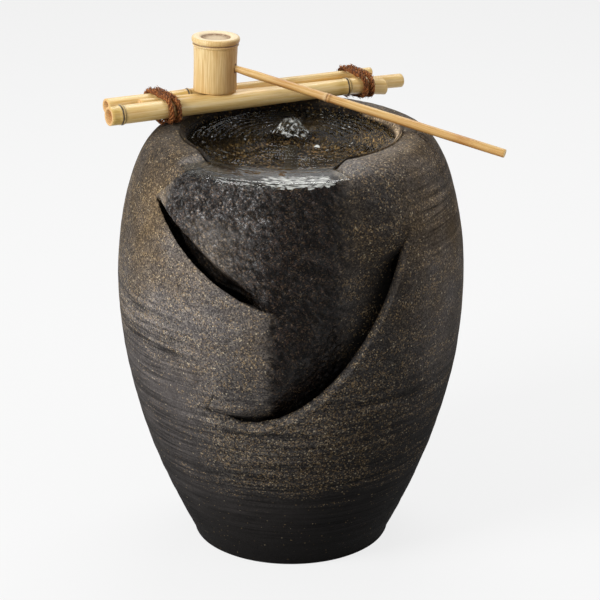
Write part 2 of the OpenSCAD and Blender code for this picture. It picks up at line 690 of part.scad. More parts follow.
module pump_rear_cap() {
    inset = pump_wall + 0.2;
    color("#22252a")
        difference() {
            along_y(housing_end_y - cap_t, housing_end_y)
                translate([0, pump_floor_z + pump_h / 2])
                    rounded_rect(pump_w - 2 * inset, pump_h - 2 * inset,
                        max(1, pump_round - inset));
            rod_y(gland_r + 0.1, housing_end_y - cap_t - 1, housing_end_y + 1);
        }
}

module cord_gland() {
    color("#15171a")
        difference() {
            union() {
                rod_y(gland_r, housing_end_y - cap_t - 2, housing_end_y + 9);
                rod_y(gland_r + 2, housing_end_y + 0.1, housing_end_y + 2.1);
            }
            rod_y(gland_bore_r, housing_end_y - cap_t - 3, housing_end_y + 10);
        }
}

module stator_core() {
    pole = well_r + well_wall + 0.2;
    low = -min(rotor_rise - pump_wall - 1, pole + 5);
    color("#8d8f92")
        translate([0, 0, rotor_z])
            difference() {
                along_y(core_y, core_y + core_len)
                    polygon([[-core_half_w, low], [core_half_w, low], [core_half_w, yoke_top],
                        [core_half_w - core_leg, yoke_top], [-core_half_w, yoke_top]]);
                along_y(core_y - 1, core_y + core_len + 1)
                    polygon([[core_leg - core_half_w, pole + 2],
                        [core_half_w - core_leg, pole + 2],
                        [core_half_w - core_leg, yoke_top - yoke_h],
                        [core_leg - core_half_w, yoke_top - yoke_h]]);
                rod_y(pole, core_y - 1, core_y + core_len + 1, 0);
            }
}

module stator_coil() {
    half = core_half_w - core_leg - 0.3;
    mid_z = rotor_z + yoke_top - yoke_h / 2;
    color("#b5673a")
        difference() {
            along_y(core_y - 2.5, core_y + core_len + 2.5)
                translate([0, mid_z])
                    square([2 * half, coil_h], center = true);
            along_y(core_y - 0.2, core_y + core_len + 0.2)
                translate([0, mid_z])
                    square([2 * half + 2, yoke_h + 0.4], center = true);
        }
}

module rotor_shaft() {
    color("#e8e6df")
        rod_y(shaft_r, cover_front_y + 0.4, well_end_y - 0.3);
}

module shaft_bush_rear() {
    color("#303236")
        ring_y(well_r - 0.1, shaft_r + 0.02, well_end_y - bush_len, well_end_y);
}

module shaft_bush_front() {
    color("#303236")
        ring_y(shaft_r + 1, shaft_r + 0.02, cover_front_y, cover_front_y + cover_wall);
}

module rotor_magnet() {
    color("#3b3d42")
        ring_y(magnet_r, shaft_r + shaft_fit, magnet_y, magnet_y + magnet_len);
}

module impeller() {
    front_y = cover_front_y + cover_wall + 1;
    plate_y = cover_back_y - 2.5;
    hub_r = 3.2;
    color("#d9dcd6")
        difference() {
            union() {
                rod_y(hub_r, front_y, magnet_y);
                rod_y(impeller_r, plate_y, plate_y + 1.5);
                for (k = [0 : vane_n - 1])
                    translate([0, 0, rotor_z])
                        rotate([0, 360 * k / vane_n, 0])
                            translate([hub_r - 1, front_y + 1, -0.5])
                                cube([impeller_r - hub_r + 0.6, plate_y - front_y - 0.5, 1]);
            }
            rod_y(shaft_r + shaft_fit, front_y - 1, magnet_y + 1);
        }
}

module cover_seal() {
    color("#101010")
        translate([0, cover_back_y - 1.05, rotor_z])
            rotate([90, 0, 0])
                rotate_extrude($fn = 64)
                    translate([(cover_r + chamber_r) / 2, 0])
                        circle(r = 0.9, $fn = 24);
}

chamber_r = cover_r - cover_wall - 1.5;
spoke_t = 1.4;

module pump_cover() {
    hub_r = shaft_r + 2.2;
    seal_r = (cover_r + chamber_r) / 2;
    outlet_z = rotor_z + chamber_r / 2;
    color("#2b2f35")
        difference() {
            union() {
                difference() {
                    union() {
                        rod_y(cover_r, cover_front_y, cover_back_y);
                        translate([0, 0, outlet_z])
                            cylinder(r = spigot_r, h = outlet_top_z - outlet_z, $fn = 48);
                    }
                    rod_y(chamber_r, cover_front_y + cover_wall, cover_back_y + 1);
                    rod_y(inlet_r, cover_front_y - 1, cover_front_y + cover_wall + 1);
                    translate([0, 0, outlet_z - 1])
                        cylinder(r = spigot_bore_r, h = outlet_top_z - outlet_z + 2, $fn = 48);
                }
                rod_y(hub_r, cover_front_y, cover_front_y + cover_wall);
                for (k = [0 : 2])
                    translate([0, 0, rotor_z])
                        rotate([0, 120 * k + 90, 0])
                            translate([hub_r - 0.6, cover_front_y + 0.3, -spoke_t / 2])
                                cube([inlet_r - hub_r + 1.2, cover_wall - 0.6, spoke_t]);
            }
            rod_y(shaft_r + 1.05, cover_front_y - 1, cover_front_y + cover_wall + 1);
            ring_y(seal_r + 1.1, seal_r - 1.1, cover_back_y - 2, cover_back_y + 1);
        }
}

strainer_back_y = cover_front_y + strainer_grip;
strainer_front_y = strainer_back_y - strainer_len;
strainer_hole_r = dial_stem_r + 0.08;

module inlet_strainer() {
    slot_h = strainer_w - 12;
    inner = strainer_w - 2 * strainer_wall;
    color("#2b2f35")
        difference() {
            along_y(strainer_front_y, strainer_back_y)
                translate([0, rotor_z])
                    rounded_rect(strainer_w, strainer_w, 5);
            along_y(strainer_front_y + strainer_wall, cover_front_y - 1)
                translate([0, rotor_z])
                    rounded_rect(inner, inner, 3);
            rod_y(cover_r + strainer_fit, cover_front_y - 2, strainer_back_y + 1);
            rod_y(strainer_hole_r, strainer_front_y - 1, strainer_front_y + strainer_wall + 1);
            for (side = [-1, 1], k = [0 : slot_n - 1])
                translate([side * (dial_r + 2 + k * (slot_w + 1.6)) - slot_w / 2,
                    strainer_front_y - 1, rotor_z - slot_h / 2])
                    cube([slot_w, strainer_wall + 2, slot_h]);
        }
}

module flow_dial() {
    knob_y = strainer_front_y - 0.3;
    inner_y = strainer_front_y + strainer_wall;
    color("#c9ccd0")
        difference() {
            union() {
                rod_y(dial_r, knob_y - dial_t, knob_y);
                rod_y(dial_stem_r, knob_y - 1, inner_y + 2);
                rod_y(dial_stem_r + 1.5, inner_y + 0.4, inner_y + 2);
            }
            translate([-0.8, knob_y - dial_t - 1, rotor_z])
                cube([1.6, 2, dial_r + 1]);
        }
}

module suction_feet() {
    color("#3a3d3a")
        for (x = [-1, 1], y = [cover_back_y + foot_cup_r + 1, housing_end_y - foot_cup_r - 1])
            translate([x * (pump_w / 2 - foot_cup_r - 1), y, floor_t])
                rotate_extrude($fn = 40)
                    polygon([[0, foot_cup_h / 3], [foot_cup_r - 1.5, 0], [foot_cup_r, 0],
                        [foot_cup_r - 0.5, 0.8], [foot_cup_r / 2, foot_cup_h / 2],
                        [foot_cup_r / 2, foot_cup_h], [0, foot_cup_h]]);
}

module on_rack() {
    translate([rack_start[0], rack_start[1], rack_top_z])
        rotate([0, 0, rack_yaw])
            rotate([0, rack_tilt, 0])
                children();
}

// A straight cane from one point in the rack's frame to another
module cane(from, to, d0, d1, nodes, hollow0, hollow1) {
    run = to - from;
    len = norm(run);
    translate(from)
        rotate([0, 0, atan2(run[1], run[0])])
            rotate([0, 90 - asin(run[2] / len), 0])
                difference() {
                    rotate_extrude($fn = 48)
                        polygon(cane_outline(len, d0, d1, nodes));
                    if (hollow0)
                        translate([0, 0, -1])
                            cylinder(r = d0 / 2 - cane_wall, h = cane_hollow + 1, $fn = 32);
                    if (hollow1)
                        translate([0, 0, len - cane_hollow])
                            cylinder(r = d1 / 2 - cane_wall, h = cane_hollow + 1, $fn = 32);
                }
}

module cane_front() {
    bend = [bend_s, 0, -front_d1 / 2];
    color("#d8c07a")
        on_rack() {
            cane([-front_over, 0, -front_d0 / 2], bend, front_d0, front_d1,
                [cane_hollow + 1.5, front_len - 5], true, false);
            cane([bend_s - 3 * cos(front_bend), 0, bend[2] + 3 * sin(front_bend)],
                [bend_s + front_tip_len * cos(front_bend), 0,
                    bend[2] - front_tip_len * sin(front_bend)],
                front_tip_d, front_tip_d - 0.4, [], false, true);
        }
}

module cane_middle() {
    color("#dcc57f")
        on_rack()
            cane([middle_s, middle_n0, middle_w0], [middle_s + middle_len, middle_n1, middle_w1],
                middle_d0, middle_d1, [], false, true);
}

module cane_back() {
    color("#d4bd78")
        on_rack()
            cane([back_s, back_n, -back_d0 / 2], [back_s + back_len, back_n, -back_d1 / 2],
                back_d0, back_d1, [back_node_s - back_s], true, false);
}

module rope(path) {
    polyhedron(points = rope_points(path), faces = rope_faces(len(path)), convexity = 10);
}

module lashing_left() {
    color("#7a4a2a")
        on_rack()
            rope(left_path);
}

module lashing_right() {
    color("#7a4a2a")
        on_rack()
            rope(right_path);
}

module by_handle() {
    translate(cup_centre)
        rotate([0, 0, handle_yaw])
            rotate([0, handle_pitch, 0])
                children();
}

module ladle_cup() {
    end_t = 6;
    ring_z = cup_h - 7;
    color("#d9bd84")
        difference() {
            on_rack()
                translate([cup_s, cup_n, seat_gap])
                    rotate_extrude($fn = 72)
                        polygon([[cup_in_r, 0], [cup_r - 0.5, 0], [cup_r, 0.6], [cup_r - 0.2, ring_z / 2],
                            [cup_r + 0.2, ring_z - 2], [cup_r + 0.5, ring_z], [cup_ring_r - 0.3, ring_z + 1],
                            [cup_ring_r, ring_z + 2.4], [cup_ring_r - 0.5, cup_h - 1],
                            [cup_ring_r - 2, cup_h], [cup_in_r - 2, cup_h], [cup_in_r - 4, cup_h - 2.4],
                            [0, cup_h - 3], [0, cup_h - 3 - end_t], [cup_in_r - 4, cup_h - 3 - end_t],
                            [cup_in_r, cup_h - 7 - end_t]]);
            by_handle()
                translate([cup_in_r / 2, 0, 0])
                    rotate([0, 90, 0])
                        cylinder(r = tenon_d / 2 + tenon_fit, h = cup_r, $fn = 32);
        }
}

module ladle_handle() {
    swell_x = cup_r + 22;
    node_x = handle_len * 0.4;
    color("#cfa567")
        by_handle()
            difference() {
                translate([tenon_tip, 0, 0])
                    rotate([0, 90, 0])
                        rotate_extrude($fn = 40)
                            polygon([[0, 0], [tenon_d / 2 - 0.6, 0], [tenon_d / 2, 0.8],
                                [tenon_d / 2, cup_r + 4 - tenon_tip],
                                [handle_d / 2 - 0.4, swell_x - tenon_tip],
                                [handle_d / 2 - 0.2, node_x - 4 - tenon_tip],
                                [handle_d / 2 + 0.4, node_x - tenon_tip],
                                [handle_d / 2 - 0.1, node_x + 4 - tenon_tip],
                                [handle_d / 2, handle_len * 0.7 - tenon_tip],
                                [handle_d / 2, handle_len - 0.6 - tenon_tip],
                                [handle_d / 2 - 0.5, handle_len - tenon_tip],
                                [0, handle_len - tenon_tip]]);
                translate([peg_x, 0, -tenon_d])
                    cylinder(r = peg_r + 0.04, h = 2 * tenon_d, $fn = 24);
            }
}

module ladle_peg() {
    color("#b98f52")
        by_handle()
            translate([peg_x, 0, -tenon_d / 2 - 1.2])
                cylinder(r = peg_r, h = tenon_d + 2.4, $fn = 24);
}

jar_body();
basin_bowl();
fall_panel();
basin_grommet();
jet_nozzle();
riser_hose();
pump_housing();
pump_rear_cap();
cord_gland();
stator_core();
stator_coil();
rotor_shaft();
shaft_bush_rear();
shaft_bush_front();
rotor_magnet();
impeller();
cover_seal();
pump_cover();
inlet_strainer();
flow_dial();
suction_feet();
cane_front();
cane_middle();
cane_back();
lashing_left();
lashing_right();
ladle_cup();
ladle_handle();
ladle_peg();
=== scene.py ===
import math
from functools import partial

import bmesh
import bpy
import numpy as np
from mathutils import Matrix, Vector
from mathutils.kdtree import KDTree


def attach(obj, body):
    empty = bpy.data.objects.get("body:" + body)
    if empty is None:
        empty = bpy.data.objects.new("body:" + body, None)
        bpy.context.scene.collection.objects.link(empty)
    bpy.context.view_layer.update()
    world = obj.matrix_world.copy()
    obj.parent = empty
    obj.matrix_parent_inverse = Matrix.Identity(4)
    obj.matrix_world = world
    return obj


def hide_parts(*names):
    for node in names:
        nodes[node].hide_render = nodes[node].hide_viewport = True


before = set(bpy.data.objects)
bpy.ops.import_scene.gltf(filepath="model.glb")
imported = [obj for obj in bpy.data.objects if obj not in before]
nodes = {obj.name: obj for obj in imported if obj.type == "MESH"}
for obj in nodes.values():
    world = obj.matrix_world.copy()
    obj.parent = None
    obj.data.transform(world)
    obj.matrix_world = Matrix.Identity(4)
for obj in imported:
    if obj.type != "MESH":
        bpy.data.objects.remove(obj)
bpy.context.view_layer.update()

mm = 0.001
fullTurn = 2 * math.pi
leastDepth = 0.02  # every clay surface stays this far inside the plain one
print("frame: loaded", len(nodes), "parts")


# Small helpers for numbers, noise and meshes. Lengths are in millimetres until a mesh is made.

def ramp(t):
    return np.clip(t, 0.0, 1.0)


def smooth(t):
    c = ramp(t)
    return c * c * (3 - 2 * c)


def rise(x, start, over):  # 0 up to start, then softly to 1 over that run
    return smooth((x - start) / over)


def fall(x, end, over):  # softly from 1 to 0 over that run, and 0 from the end on
    return smooth((end - x) / over)


def peak(x, middle, width):
    return np.exp(-((x - middle) / width) ** 2)


def mix(a, b, t):
    return a + (b - a) * t


def part(x, low, high):  # how far x has come from low to high
    return (x - low) / (high - low)


def srgb(code):
    parts = [int(code[i:i + 2], 16) / 255 for i in (1, 3, 5)]
    return [c / 12.92 if c <= 0.04045 else ((c + 0.055) / 1.055) ** 2.4 for c in parts] + [1.0]


def around(r, a, z):  # a point at that radius, angle from the front in degrees, and height
    a = np.radians(a)
    return np.stack([r * np.sin(a), -r * np.cos(a), z + 0 * a], -1)


def angleOf(points):
    return np.degrees(np.arctan2(points[:, 0], -points[:, 1]))


def reachOf(points):
    return np.hypot(points[:, 0], points[:, 1])


noiseSeed = np.random.default_rng(11)
noiseOrder = np.tile(noiseSeed.permutation(256), 3)
noiseSlopes = noiseSeed.normal(size=(256, 3))
noiseSlopes /= np.linalg.norm(noiseSlopes, axis=1)[:, None]


def lumps(points, size):  # gradient noise from about -1 to 1, with lumps of that size in mm
    p = np.asarray(points, float) / size
    cell = np.floor(p).astype(int)
    f = p - cell
    w = f * f * f * (f * (f * 6 - 15) + 10)
    total = np.zeros(len(p))
    for corner in np.ndindex(2, 2, 2):
        h = noiseOrder[(cell[:, 0] + corner[0]) & 255]
        for axis in (1, 2):
            h = noiseOrder[h + ((cell[:, axis] + corner[axis]) & 255)]
        share = np.prod(np.where(corner, w, 1 - w), 1)
        total += share * ((f - corner) * noiseSlopes[h]).sum(1)
    return total * 1.6


def hills(points, size):  # the same, from about 0 to 1
    return lumps(points, size) * 0.5 + 0.5


def turned(p, origin, tilt, yaw):  # from a frame of its own: along, across to the back, and up
    p = np.asarray(p, float)
    t, y = math.radians(tilt), math.radians(yaw)
    x = p[..., 0] * math.cos(t) + p[..., 2] * math.sin(t)
    z = p[..., 2] * math.cos(t) - p[..., 0] * math.sin(t)
    return np.stack([x * math.cos(y) - p[..., 1] * math.sin(y),
                     x * math.sin(y) + p[..., 1] * math.cos(y), z], -1) + origin


def addObject(name, data):
    made = bpy.data.objects.new(name, data)
    bpy.context.scene.collection.objects.link(made)
    return made


def makePiece(name, points, faces, material, sharp=40):
    mesh = bpy.data.meshes.new(name)
    mesh.from_pydata((np.asarray(points, float) * mm).tolist(), [], faces)
    mesh.validate()
    mesh.shade_smooth()
    mesh.set_sharp_from_angle(angle=math.radians(sharp))
    mesh.materials.append(material)
    return addObject(name, mesh)


def store(piece, name, values):  # a number, vector or colour per vertex, for the material to read
    values = np.ascontiguousarray(values, np.float32)
    kind, field = {1: ("FLOAT", "value"), 3: ("FLOAT_VECTOR", "vector"),
                   4: ("FLOAT_COLOR", "color")}[values[:1].size]
    piece.data.attributes.new(name, kind, "POINT").data.foreach_set(field, values.ravel())


def vertexPoints(piece):
    co = np.zeros(len(piece.data.vertices) * 3)
    piece.data.vertices.foreach_get("co", co)
    return co.reshape(-1, 3) / mm


def fixNormals(piece):
    mesh = bmesh.new()
    mesh.from_mesh(piece.data)
    bmesh.ops.recalc_face_normals(mesh, faces=mesh.faces)
    mesh.to_mesh(piece.data)
    mesh.free()


def bakeModifiers(holder):  # the evaluated mesh, with the modifiers taken off their object
    graph = bpy.context.evaluated_depsgraph_get()
    mesh = bpy.data.meshes.new_from_object(holder.evaluated_get(graph))
    holder.modifiers.clear()
    return mesh


def cutAway(piece, cutter):
    cut = piece.modifiers.new("cut", "BOOLEAN")
    cut.operation, cut.solver, cut.object = "DIFFERENCE", "MANIFOLD", cutter
    whole = piece.data
    piece.data = bakeModifiers(piece)
    bpy.data.meshes.remove(whole)
    piece.data.name = piece.name
    bpy.data.objects.remove(cutter)


def asRows(values, columns):  # one value per row, repeated along it
    return np.repeat(np.asarray(values, float)[:, None], columns, 1)


def numbered(rows, columns, first=0):
    return first + np.arange(rows * columns).reshape(rows, columns)


def quads(grid, closed=False, flip=False):
    # faces of a grid of vertex numbers; a closed one joins its last column to its first
    here, beside = (grid, np.roll(grid, -1, 1)) if closed else (grid[:, :-1], grid[:, 1:])
    corners = [here[:-1], beside[:-1], beside[1:], here[1:]]
    if flip:
        corners = corners[:1] + corners[:0:-1]
    return np.stack(corners, -1).reshape(-1, 4).tolist()


def edgeFaces(fine, coarse, picks, flip=False):  # between a fine line and one with fewer points
    faces = []
    for k in range(len(picks) - 1):
        strip = fine[picks[k]:picks[k + 1] + 1].tolist()
        faces.append([coarse[k + 1], *strip[::-1], coarse[k]] if flip
                     else [coarse[k], *strip, coarse[k + 1]])
    return faces


def shellFaces(outer, inner, rowPick, colPick, wrapRow):
    # A wall between an outer grid and a coarser inner one, whose rows and columns stand behind the
    # picked ones. Rows below wrapRow are closed rings, and the rest are open strips.
    faces = quads(outer) + quads(inner, flip=True)
    for k in range(len(rowPick) - 1):  # side walls at the first and last column
        if rowPick[k] >= wrapRow:
            pair = rowPick[k:k + 2]
            faces += edgeFaces(outer[:, 0], inner[k:k + 2, 0], pair)
            faces += edgeFaces(outer[:, -1], inner[k:k + 2, -1], pair, flip=True)
    return faces + edgeFaces(outer[-1], inner[-1], colPick)


# Materials

def addNode(tree, kind, settings=None, output=None):
    # Adds a node and returns its first output in use, or the one named. A setting is a property or
    # an input's value; a socket given as a value is linked, and stops are the colours of a ramp. In
    # a Mix node, input 0 is the factor, 2 and 3 are numbers, 4 and 5 vectors, 6 and 7 colours.
    node = tree.nodes.new(kind if "Node" in kind else "ShaderNode" + kind)
    for key, value in (settings or {}).items():
        if key == "stops":
            marks = node.color_ramp.elements
            for mark, (place, code) in zip(marks, (value[0], value[-1])):
                mark.position, mark.color = place, srgb(code)
            for place, code in value[1:-1]:
                marks.new(place).color = srgb(code)
        elif isinstance(value, bpy.types.NodeSocket):
            tree.links.new(value, node.inputs[key])
        elif isinstance(key, str) and hasattr(node, key):
            setattr(node, key, value)
        else:
            node.inputs[key].default_value = value
    if output:
        return node.outputs[output]
    return next((socket for socket in node.outputs if socket.enabled), node)


def newMaterial(name):
    material = bpy.data.materials.new(name)
    material.use_nodes = True
    material.node_tree.nodes.clear()
    return material, partial(addNode, material.node_tree)


def stonewareMaterial(name, look):
    # Unglazed stoneware, thrown from gritty clay and fired: grey-brown grains with golden crumbs,
    # dry and rough, near black and glossy where water runs over it. Its attributes are tone (wet,
    # warm, level, which is partly painted shade and light, and pale or thick water), comb,
    # where the potter's comb has lined it, and crumbs, for more or fewer of them. Sizes in the
    # look are in mm.
    material, add = newMaterial(name)
    place = add("TexCoord", output="Object")
    tone = add("Attribute", {"attribute_name": "tone"}, "Color")
    wet, warm, level = add("SeparateColor", {"Color": tone}).node.outputs
    pale = tone.node.outputs["Alpha"]
    comb = add("Attribute", {"attribute_name": "comb"}, "Fac")
    many = add("Attribute", {"attribute_name": "crumbs"}, "Fac")

    # grains, and the streaks of a comb that went round a little askew
    warp = add("TexNoise", {"Scale": look["warpsPerMetre"], "Detail": 1.0, "Vector": place},
               "Color")
    moved = add("Mix", {"data_type": "VECTOR", 0: look["warp"], 4: place, 5: warp})
    grain = add("TexVoronoi", {"Scale": 1000 / look["grain"], "Vector": moved}, "Color")
    grainTone, grainSize, crumbHue = add("SeparateColor", {"Color": grain}).node.outputs
    askew = add("Mapping", {"Rotation": (0, math.radians(look["combAskew"]), 0),
                            "Scale": look["combScale"], "Vector": place})
    teeth = add("TexNoise", {"Scale": 1.0, "Detail": 4.0, "Roughness": 0.62, "Distortion": 0.5,
                             "Vector": askew})
    toothed = add("MapRange", {"From Min": 0.35, "From Max": 0.65, "To Min": -1.0, "Value": teeth})
    lines = add("Math", {"operation": "MULTIPLY", 0: toothed, 1: comb})

    # how many crumbs show where, and their colours
    flat = add("Mapping", {"Scale": look["driftScale"], "Vector": place})
    drift = add("TexNoise", {"Scale": 1.0, "Detail": 3.0, "Roughness": 0.65, "Vector": flat})
    more = add("Math", {"operation": "ADD", 0: drift, 1: many})
    drifted = add("Math", {"operation": "MULTIPLY_ADD", 1: 0.15, 0: lines, 2: more})
    rare = add("MapRange", {"From Min": 0.38, "From Max": 0.64, "To Min": look["fewest"],
                            "To Max": look["most"], "Value": drifted})
    crumb = add("Math", {"operation": "GREATER_THAN", 0: grainSize, 1: rare})
    crumbTone = add("ValToRGB", {"stops": look["crumbStops"], "Fac": crumbHue})

    # the ground colour, dry, warm, pale or wet, and plainer where crumbs are few
    plain = add("MapRange", {"From Min": -0.2, "From Max": 0.05, "To Min": 0.75, "To Max": 0.0,
                             "Value": many})
    spread = add("Mix", {"data_type": "FLOAT", 3: 0.55, 0: plain, 2: grainTone})
    dry = add("ValToRGB", {"stops": look["dryStops"], "Fac": spread})
    damp = add("ValToRGB", {"stops": look["wetStops"], "Fac": grainTone})
    warmed = add("Mix", {"data_type": "RGBA", "blend_type": "MULTIPLY", 7: srgb(look["warmTint"]),
                         0: warm, 6: dry})
    paled = add("Mix", {"data_type": "RGBA", "blend_type": "SCREEN", 7: srgb(look["paleColour"]),
                        0: pale, 6: warmed})
    wetted = add("Mix", {"data_type": "RGBA", 0: wet, 6: paled, 7: damp})

    # small dents that the water fills, crossing the face aslant
    aslant = add("Mapping", {
        "vector_type": "TEXTURE", "Rotation": (0, math.radians(look["dentAskew"]), 0),
        "Scale": (1, 1, look["dentLength"]), "Vector": place})
    dents = add("TexNoise", {"Scale": 1000 / look["dent"], "Detail": 2.5, "Roughness": 0.6,
                             "Distortion": 1.1, "Vector": aslant})
    dented = add("MapRange", {"From Min": 0.4, "From Max": 0.6, "To Min": 0.08, "Value": dents})
    # on wet clay the dents' valleys are painted darker and their ridges lighter: painted shade and
    # highlight
    paintedDentShade = add("MapRange", {"To Min": 0.5, "To Max": 1.65, "Value": dented})
    paintedDentShadeWet = add("Mix", {"data_type": "FLOAT", 2: 1.0, 0: wet, 3: paintedDentShade})

    # light and dark: clouds, comb lines, the level from the mesh, partly painted shade and light,
    # and the dents
    cloud = add("TexNoise", {"Scale": look["cloudsPerMetre"], "Detail": 7.0, "Roughness": 0.68,
                             "Vector": place})
    blotch = add("MapRange", {"From Min": 0.3, "From Max": 0.7, "To Min": 0.78, "To Max": 1.18,
                              "Value": cloud})
    # the comb lines are lighter and darker in colour, partly the combed clay's own tone and partly
    # painted highlight and shade where their relief catches the light
    lined = add("Math", {"operation": "MULTIPLY_ADD", 1: look["combTone"], 0: lines, 2: blotch})
    levelled = add("Math", {"operation": "MULTIPLY", 0: lined, 1: level})
    shade = add("Math", {"operation": "MULTIPLY", 0: levelled, 1: paintedDentShadeWet})
    ground = add("Mix", {"data_type": "RGBA", "blend_type": "MULTIPLY", 0: 1.0, 6: wetted,
                         7: shade})
    soaked = add("MapRange", {"To Min": 1.0, "To Max": look["wetCrumbs"], "Value": wet})
    # the crumbs follow the painted shade of the level, but less
    lit = add("Math", {"operation": "POWER", 0: shade, 1: look["crumbFade"]})
    crumbLit = add("Math", {"operation": "MULTIPLY", 0: lit, 1: soaked})
    share = add("Math", {"operation": "MULTIPLY", "use_clamp": True, 0: crumb, 1: crumbLit})
    colour = add("Mix", {"data_type": "RGBA", "blend_type": "SCREEN", 0: share, 6: ground,
                         7: crumbTone})

    # roughness, relief and the film of water
    rough = add("MapRange", {"To Min": look["dryRough"], "To Max": look["wetRough"], "Value": wet})
    fine = add("TexNoise", {"Scale": 1000 / look["bumpSize"], "Detail": 4.0, "Roughness": 0.62,
                            "Vector": place})
    gritty = add("Math", {"operation": "MULTIPLY_ADD", 0: grainSize, 1: fine, 2: fine})
    height = add("Math", {"operation": "MULTIPLY_ADD", 1: look["combHeight"], 0: lines, 2: gritty})
    bump = add("Bump", {"Strength": look["bump"], "Distance": look["bumpDepth"] * mm,
                        "Height": height})
    ripple = add("Bump", {"Strength": 1.0, "Distance": look["dentDepth"] * mm, "Height": dents})
    thick = add("Math", {"operation": "MULTIPLY", 0: wet, 1: pale})
    film = add("Math", {"operation": "MULTIPLY", "use_clamp": True, 0: thick, 1: dented})
    shader = add("BsdfPrincipled", {
        "Specular IOR Level": look["gloss"], "Coat Roughness": look["filmRough"],
        "Coat IOR": look["filmIor"], "Coat Weight": film, "Coat Normal": ripple,
        "Base Color": colour, "Roughness": rough, "Normal": bump})
    add("OutputMaterial", {"Surface": shader})
    return material


# The jar: what a user would change about it, the same numbers as the model's own. Angles are in
# degrees from the front, less than 0 to the left, and the bends are powers.

jar = {
    "height": 460, "bellyRadius": 187, "bellyHeight": 295, "footRadius": 105, "footRound": 5,
    "swell": 1.93, "rimOut": 131, "rimIn": 118, "wall": 10, "rimWall": 12, "weir": 448,
    "notchLeft": -45, "notchRight": 20, "rampLeft": 11, "rampRight": 10,
    "fallTopAngle": -56, "fallTop": 417, "fallLowAngle": -7, "fallLow": 321, "fallDepth": 20,
    "fallBend": 1.35, "fallRoll": 24, "lipLeft": 2.0,
    "slitTopAngle": 44, "slitTop": 393, "slitLowAngle": -17, "slitLow": 190, "slitBend": 0.47,
    "slitEndAngle": -29, "slitEnd": 206, "hookBend": 0.6, "slitDepth": 18.5, "slitRoll": 84,
    "hookRoll": 14, "lipRight": 4.6, "floor": 12, "columns": 330,
    "window": {"width": 110, "height": 100, "middle": 268, "corner": 15},
}


def jarRadius(z):
    z = np.asarray(z, float)
    low = mix(jar["footRadius"], jar["bellyRadius"],
              1 - np.maximum(0, 1 - z / jar["bellyHeight"]) ** jar["swell"])
    up = part(z, jar["bellyHeight"], jar["height"])
    high = mix(jar["rimOut"], jar["bellyRadius"], np.sqrt(np.maximum(0, 1 - up * up)))
    return np.where(z < jar["bellyHeight"], low, high)


def fallShare(z):
    return ramp(part(z, jar["fallLow"], jar["fallTop"])) ** (1 / jar["fallBend"])


def bridgeAngle(z):  # where jar and panel are one piece, between the two slits
    return mix(jar["slitEndAngle"], jar["fallLowAngle"],
               ramp(part(z, jar["slitEnd"], jar["fallLow"])))


def leftAngle(z):  # the panel's left edge: the lower slit's hooked end, bridge, upper slit, lip
    z = np.asarray(z, float)
    hook = mix(jar["slitLowAngle"], jar["slitEndAngle"],
               ramp(part(z, jar["slitLow"], jar["slitEnd"])) ** jar["hookBend"])
    slit = mix(jar["fallLowAngle"], jar["fallTopAngle"], fallShare(z))
    top = mix(jar["fallTopAngle"], jar["notchLeft"], part(z, jar["fallTop"], jar["weir"]))
    return np.where(z < jar["slitEnd"], hook, np.where(
        z < jar["fallLow"], bridgeAngle(z), np.where(z < jar["fallTop"], slit, top)))


def rightAngle(z):
    z = np.asarray(z, float)
    low = mix(jar["slitLowAngle"], jar["slitTopAngle"],
              ramp(part(z, jar["slitLow"], jar["slitTop"])) ** jar["slitBend"])
    top = mix(jar["slitTopAngle"], jar["notchRight"], part(z, jar["slitTop"], jar["weir"]))
    return np.where(z < jar["slitTop"], low, top)


def aboveFall(a, z):  # place along the upper slit, height over its edge, and if a point is over it
    u = part(a, jar["fallLowAngle"], jar["fallTopAngle"])
    edge = mix(jar["fallLow"], jar["fallTop"], ramp(u) ** jar["fallBend"])
    return u, z - edge, (u > 0) & (u < 1) & (z >= jar["fallLow"])


def fallDepth(a, z):
    u, up, over = aboveFall(a, z)
    roll = jar["fallRoll"] * (1 - 0.7 * rise(u, 0.5, 0.5))
    depth = jar["fallDepth"] * rise(u, 0, 0.25) * fall(u, 1, 0.15) * (1 - smooth(up / roll))
    return np.where(over, depth, 0)


def slitDistance(a, z):  # from the lower slit's edge, up and to its left
    low, end = jar["slitLowAngle"], jar["slitEndAngle"]
    run = ramp(part(a, low, jar["slitTopAngle"])) ** (1 / jar["slitBend"])
    hook = ramp(part(a, low, end)) ** (1 / jar["hookBend"])
    edge = np.where(a > low, mix(jar["slitLow"], jar["slitTop"], run),
                    mix(jar["slitLow"], jar["slitEnd"], hook))
    side = np.radians(rightAngle(z) - a) * jarRadius(z)
    up = z - edge
    s, u = np.maximum(side, 1e-4), np.maximum(up, 1e-4)
    both = 1 / np.sqrt(1 / (s * s) + 1 / (u * u))
    return np.where((side <= 0) | (up <= 0), 0, np.where(a < low, up, both))


def slitDepth(a, z):
    roll = mix(jar["hookRoll"], jar["slitRoll"], rise(a, jar["slitEndAngle"] + 4, 60))
    depth = jar["slitDepth"] * fall(z, jar["slitTop"], 45) * rise(a, bridgeAngle(z), 12)
    return depth * (1 - smooth(slitDistance(a, z) / roll))


# the mask of the painted shade in the slits
def shadeIn(a, z):  # how deep a point of the panel lies in one of its two slits, from 0 to 1
    u, up, over = aboveFall(a, z)
    upper = rise(u, 0, 0.1) * fall(u, 1.01, 0.05)
    upper *= 1 - smooth(up / (24 - 18 * rise(u, 0.5, 0.5)))
    width = mix(2.6, 26, ramp((a - jar["slitEndAngle"]) / 44))
    lower = rise(a, jar["slitEndAngle"] - 2, 7) * (1 - smooth(slitDistance(a, z) / width))
    return np.maximum(np.where(over, upper, 0), lower * fall(z, jar["slitTop"], 30))


